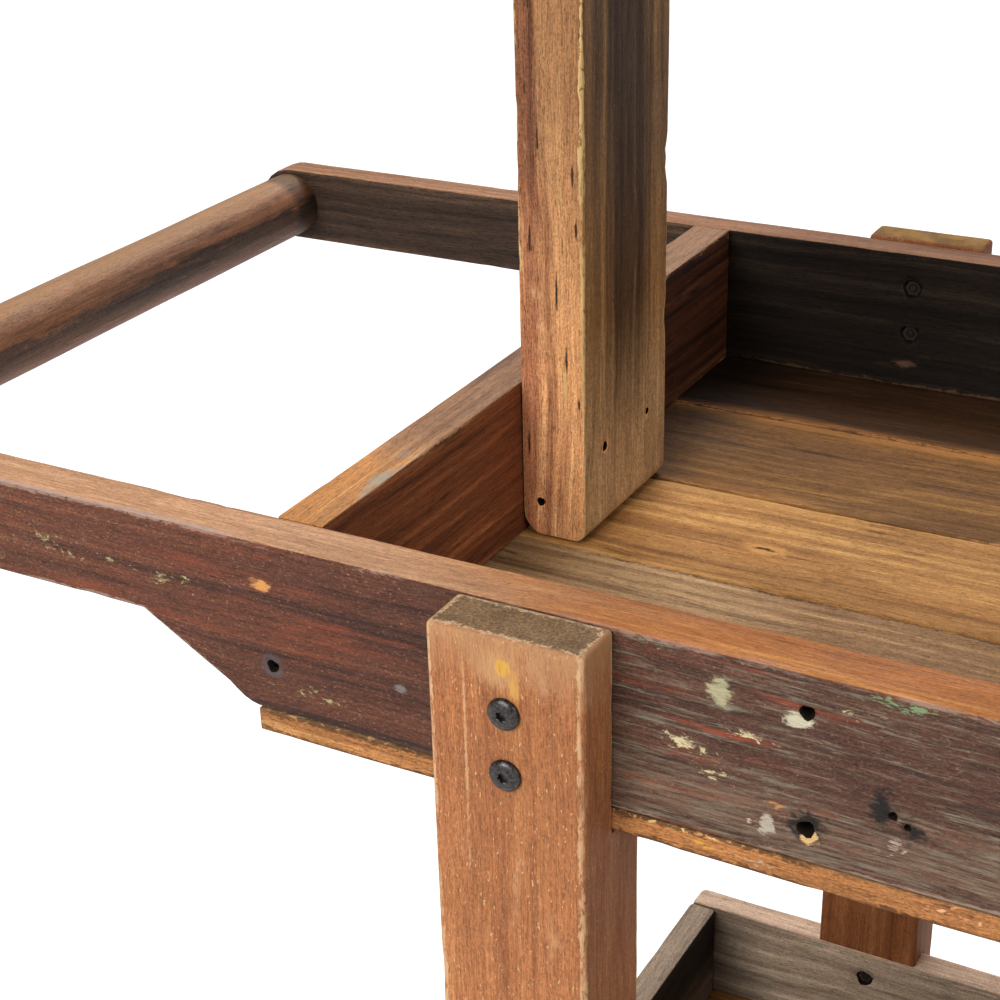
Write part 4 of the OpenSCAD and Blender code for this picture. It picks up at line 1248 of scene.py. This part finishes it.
def make_fasteners(node, rows_for, drive, segments, material, body="frame"):
    """Every screw or bolt of one node, with its head and drive, each turned its own way."""
    points, faces = [], []
    for number, (top, out, length, head) in enumerate(fasteners_of(node)):
        side = out.orthogonal().normalized()
        other = out.cross(side)
        rows = rows_for(length, head)
        faces += tube_faces(len(rows), segments, first=len(points))
        for height, radius, share in rows:
            for place in range(segments):
                turn = 2 * math.pi * place / segments
                arm = radius * (1 - share + share * drive(turn))
                turn += 1.3 * number
                points.append(top + out * height + (side * math.cos(turn) + other * math.sin(turn)) * arm)
    piece = make_piece(node + "_detailed", [tuple(point) for point in points], faces, sharp=32)
    make_outward(piece.data)
    place_piece(piece, material, [node], body)


# ---------------------------------------------------------------- wheels

def joined(name, pieces):
    """One piece from several, each of which keeps the values on its points."""
    with bpy.context.temp_override(active_object=pieces[0], selected_editable_objects=pieces):
        bpy.ops.object.join()
    pieces[0].name = name
    pieces[0].data.name = name
    return pieces[0]


def disc_profile(node, centre_x, centre_z, disc_r):
    """The profile of a board along X that is cut to a round disc."""
    low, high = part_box(node)
    thin_end = 2 * MM
    profile = []
    for turn in np.linspace(-math.pi / 2, math.pi / 2, 33):
        x = disc_r * math.sin(turn)
        reach = math.sqrt(max(disc_r ** 2 - x ** 2, 0))
        z0, z1 = max(low[2] - centre_z, -reach), min(high[2] - centre_z, reach)
        if z1 - z0 > thin_end:
            profile.append((centre_x + x, low[1], high[1], centre_z + z0, centre_z + z1))
    return profile


def make_battens(node, seed, body):
    """The two upright battens that hold a wheel's boards, as one piece."""
    low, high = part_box(node)
    width = 30 * MM
    pieces = []
    for number, x in enumerate((low[0], high[0] - width)):
        profile = [(z, x, x + width, low[1], high[1]) for z in (low[2], high[2])]
        pieces.append(timber(f"batten_{number}", ALONG_Z, profile, radius=0.0015, step=0.007, chip=0.0008,
                             wave=0.0002, seed=seed + number))
    material = plain_wood(node + "_wood", ALONG_Z, seed + 2, DARK_LEG)
    place_piece(joined(node + "_wood", pieces), material, [node], body)


def make_wheel(word, seed):
    """A wheel of three boards held by two battens, with an iron tyre. word is front or back."""
    body = word + "_wheel"
    tyre_low, tyre_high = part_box(word + "_tyre")
    axle_x, axle_z = (tyre_low[0] + tyre_high[0]) / 2, (tyre_low[2] + tyre_high[2]) / 2
    boards = [f"{word}_wheel_{row}_board" for row in ("lower", "middle", "upper")]
    disc_r = axle_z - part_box(boards[0])[0][2]
    for number, node in enumerate(boards):
        piece = timber(node + "_wood", ALONG_X, disc_profile(node, axle_x, axle_z, disc_r), radius=0.0012,
                       step=0.007, chip=0.0008, wave=0.0002, fibre=0.00015, seed=seed + number,
                       end_radius=0.0008)
        material = plain_wood(node + "_wood", ALONG_X, seed + number, MAROON, GREY_GREEN, contrast=1.2)
        place_piece(piece, material, [node], body)
        if number == 1:
            middle_y = (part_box(node)[0][1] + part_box(node)[1][1]) / 2
            bore(piece, (axle_x, middle_y, axle_z), BUSH_WALL_R - 0.1 * MM, 60 * MM)
    make_battens(word + "_wheel_battens", seed + 5, body)

    inner, outer = tyre_low[1], tyre_high[1]
    middle = (inner + outer) / 2
    wheel_r, round_r = tyre_high[0] - axle_x, 1.2 * MM
    bevel, lip = 0.4 * MM, 0.5 * MM
    outline = [(inner, disc_r + lip), (inner, wheel_r - round_r), (inner + bevel, wheel_r - bevel),
               (inner + round_r, wheel_r), (middle, wheel_r), (outer - round_r, wheel_r),
               (outer - bevel, wheel_r - bevel), (outer, wheel_r - round_r), (outer, disc_r + lip),
               (outer - lip, disc_r), (middle, disc_r), (inner + lip, disc_r)]
    tyre = lathe(word + "_tyre_iron", outline, ALONG_Y, (axle_x, 0, axle_z), segments=180, dent=0.0003,
                 seed=seed, closed=True)
    place_piece(tyre, IRON, [word + "_tyre"], body)


def make_turned_iron():
    """Axle, spacers, washers and bushes: turned or forged, with chamfered ends."""
    low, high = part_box("axle")
    centre = ((low[0] + high[0]) / 2, 0, (low[2] + high[2]) / 2)
    radius = (high[0] - low[0]) / 2
    chamfer = 1.5 * MM
    stations = np.linspace(low[1] + chamfer, high[1] - chamfer, 60)
    outline = [(low[1], radius - chamfer), *((station, radius) for station in stations),
               (high[1], radius - chamfer)]
    place_piece(lathe("axle_iron", outline, ALONG_Y, centre, segments=40, dent=0.0001), IRON, ["axle"])

    def ring(name, start, end, outer_r, inner_r, extra=()):
        """A chamfered ring. extra is (station, radius) points on its outside, from start to end."""
        edge = 0.6 * MM
        inward = edge if end > start else -edge
        last_r = extra[-1][1] if extra else outer_r
        outline = [(start, inner_r), (start, outer_r - edge), (start + inward, outer_r), *extra,
                   (end - inward, last_r), (end, last_r - edge), (end, inner_r), ((start + end) / 2, inner_r)]
        return lathe(name, outline, ALONG_Y, centre, segments=56, dent=0.00008, closed=True)

    for word, inner_end, outer_end, sign in (("front", 1, 0, -1), ("back", 0, 1, 1)):
        low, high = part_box(word + "_spacer")
        spacer = ring(word + "_spacer_iron", low[1], high[1], (high[0] - low[0]) / 2, radius)
        place_piece(spacer, IRON, [word + "_spacer"])
        box = low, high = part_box(word + "_bush")
        disc_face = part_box(word + "_wheel_middle_board")[outer_end][1]
        flange_r, flange_t = (high[0] - low[0]) / 2, 3 * MM * sign
        extra = [(disc_face, BUSH_WALL_R), (disc_face, flange_r), (disc_face + 0.7 * flange_t, flange_r),
                 (disc_face + flange_t, flange_r - 0.8 * MM), (disc_face + flange_t, BUSH_WALL_R + 1.5 * MM),
                 (disc_face + 1.5 * flange_t, BUSH_WALL_R)]
        bush = ring(word + "_bush_iron", box[inner_end][1], box[outer_end][1], BUSH_WALL_R,
                    radius + 0.05 * MM, extra)
        place_piece(bush, IRON, [word + "_bush"], word + "_wheel")
    washers = []
    for points in solids_of("axle_washers"):
        low, high = points.min(axis=0), points.max(axis=0)
        washers.append(ring("washer", low[1], high[1], (high[0] - low[0]) / 2, radius))
    place_piece(joined("axle_washers_steel", washers), SCREW_STEEL, ["axle_washers"])


# ---------------------------------------------------------------- the bench

def nut_recesses(node, inner_end, drops):
    """The recesses in a board's inner face in which the leg bolts' nuts sit, at drops below its top."""
    legs = [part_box(leg) for leg in ("left_front_leg", "right_front_leg")]
    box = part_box(node)
    into_wood = (0, -1 if inner_end else 1, 0)
    return [(((low[0] + high[0]) / 2, box[inner_end][1], box[1][2] - drop * MM), into_wood, 6.6 * MM, 8 * MM)
            for low, high in legs for drop in drops]


def make_upper_tray():
    """Rails, end boards, floor and handle bar."""
    old_holes = [
        (at(-17, RAIL_FACE, -72), INTO_FRONT, 3.6 * MM, 4 * MM),
        (at(275, RAIL_FACE, -20), INTO_FRONT, 3.6 * MM, 9 * MM),
        (at(277, RAIL_FACE, -81.5), INTO_FRONT, 4.2 * MM, 14 * MM),
        (at(317, RAIL_FACE, -62), INTO_FRONT, 2.2 * MM, 4 * MM),
        (at(324, RAIL_FACE, -66), INTO_FRONT, 1.8 * MM, 3 * MM),
    ]
    make_rail("front_rail", 11, front_rail_wood(), old_holes + nut_recesses("front_rail", 1, FRONT_NUT_DROPS))
    make_rail("back_rail", 12, back_rail_wood(), nut_recesses("back_rail", 0, NUT_DROPS))
    make_board("left_end_board", ALONG_Y, end_board_wood("left_end_wood", 3), seed=13)
    make_board("right_end_board", ALONG_Y, end_board_wood("right_end_wood", 4), seed=14)
    for number in range(1, 5):
        make_board(f"floor_board_{number}", ALONG_X, floor_board_wood(number), seed=20 + number,
                   radius=0.0011, step=0.009, chip=0.0016)
    plain_board("tray_batten", ALONG_Y, 41, DARK_LEG, step=0.01)
    make_handle()


def make_lower_tray():
    """The box between the legs, with its floor."""
    for number in range(1, 5):
        node = f"lower_floor_board_{number}"
        material = plain_wood(node + "_wood", ALONG_X, 15 + number, FLOOR_BROWN, rgb(84, 64, 50), 0.4)
        make_board(node, ALONG_X, material, seed=30 + number, radius=0.0011, step=0.010, chip=0.0014)
    plain_board("lower_batten", ALONG_Y, 42, DARK_LEG, step=0.01)
    for node, seed, inner_end in (("lower_front_side", 61, 1), ("lower_back_side", 62, 0)):
        make_board(node, ALONG_X, lower_side_wood(node, seed), seed=seed, radius=0.004, step=0.009,
                   end_radius=0.006, holes=nut_recesses(node, inner_end, NUT_DROPS))
    for node, seed, inner_sign in (("lower_left_end", 63, 1), ("lower_right_end", 64, -1)):
        make_board(node, ALONG_Y, lower_end_wood(node, seed, inner_sign), seed=seed, radius=0.003, step=0.009)


def make_shelf():
    """The two posts, and the shelf that they carry on bearers, a beam and braces."""
    make_left_post(post_wood("left_post_wood", 71, 1))
    make_board("right_post", ALONG_Z, post_wood("right_post_wood", 72, -1), seed=72, radius=0.0012,
               chip=0.0012, end_radius=0.003)
    plain_board("left_bearer", ALONG_Y, 73, LEG_ORANGE)
    plain_board("right_bearer", ALONG_Y, 74, LEG_ORANGE)
    plain_board("shelf_beam", ALONG_X, 75, LEG_ORANGE)
    make_brace("left_brace", 1, plain_wood("left_brace_wood", ALONG_X, 76, LEG_ORANGE))
    make_brace("right_brace", -1, plain_wood("right_brace_wood", ALONG_X, 77, LEG_ORANGE))
    weathered = {"weather": rgb(96, 60, 44), "share": 0.4}
    for number in range(1, 4):
        plain_board(f"shelf_plank_{number}", ALONG_X, 77 + number, GREY_BROWN, weathered, step=0.009,
                    radius=0.002)


def make_bench():
    make_upper_tray()
    for node, seed in (("left_front_leg", 51), ("right_front_leg", 52)):
        make_leg(node, front_leg_wood(node + "_wood", seed), seed)
    for node, seed in (("left_back_leg", 53), ("right_back_leg", 54)):
        make_leg(node, back_leg_wood(node + "_wood", seed), seed)
    make_lower_tray()
    make_shelf()
    make_turned_iron()
    make_wheel("front", 101)
    make_wheel("back", 121)
    make_fasteners("leg_bolts", bolt_rows, six_lobes, 48, BOLT_BLACK)
    for node in ("corner_screws", "floor_screws", "post_screws", "shelf_screws", "brace_screws"):
        make_fasteners(node, screw_rows, cross_slot, 32, SCREW_STEEL)
    for body in ("front_wheel", "back_wheel"):
        make_fasteners(body + "_screws", screw_rows, cross_slot, 32, SCREW_STEEL, body)
    for node, material in (("leg_nuts", NUT_IRON), ("split_pins", SCREW_STEEL)):
        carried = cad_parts[node].data
        carried.materials.clear()
        carried.materials.append(material)


add_camera()
add_world(1.0, 0.38)
add_area_light("front_softbox", (-0.9, -2.6, 2.6), (-0.1, -0.1, 0.8), 2.2, 122)
add_area_light("overhead_softbox", (-0.7, 1.9, 2.9), (-0.2, 0.0, 0.86), 1.6, 62)
add_area_light("right_fill", (2.6, -1.2, 2.4), (-0.2, 0.0, 0.8), 2.0, 26)
add_floor()
bpy.context.scene.view_settings.view_transform = "Standard"
make_bench()
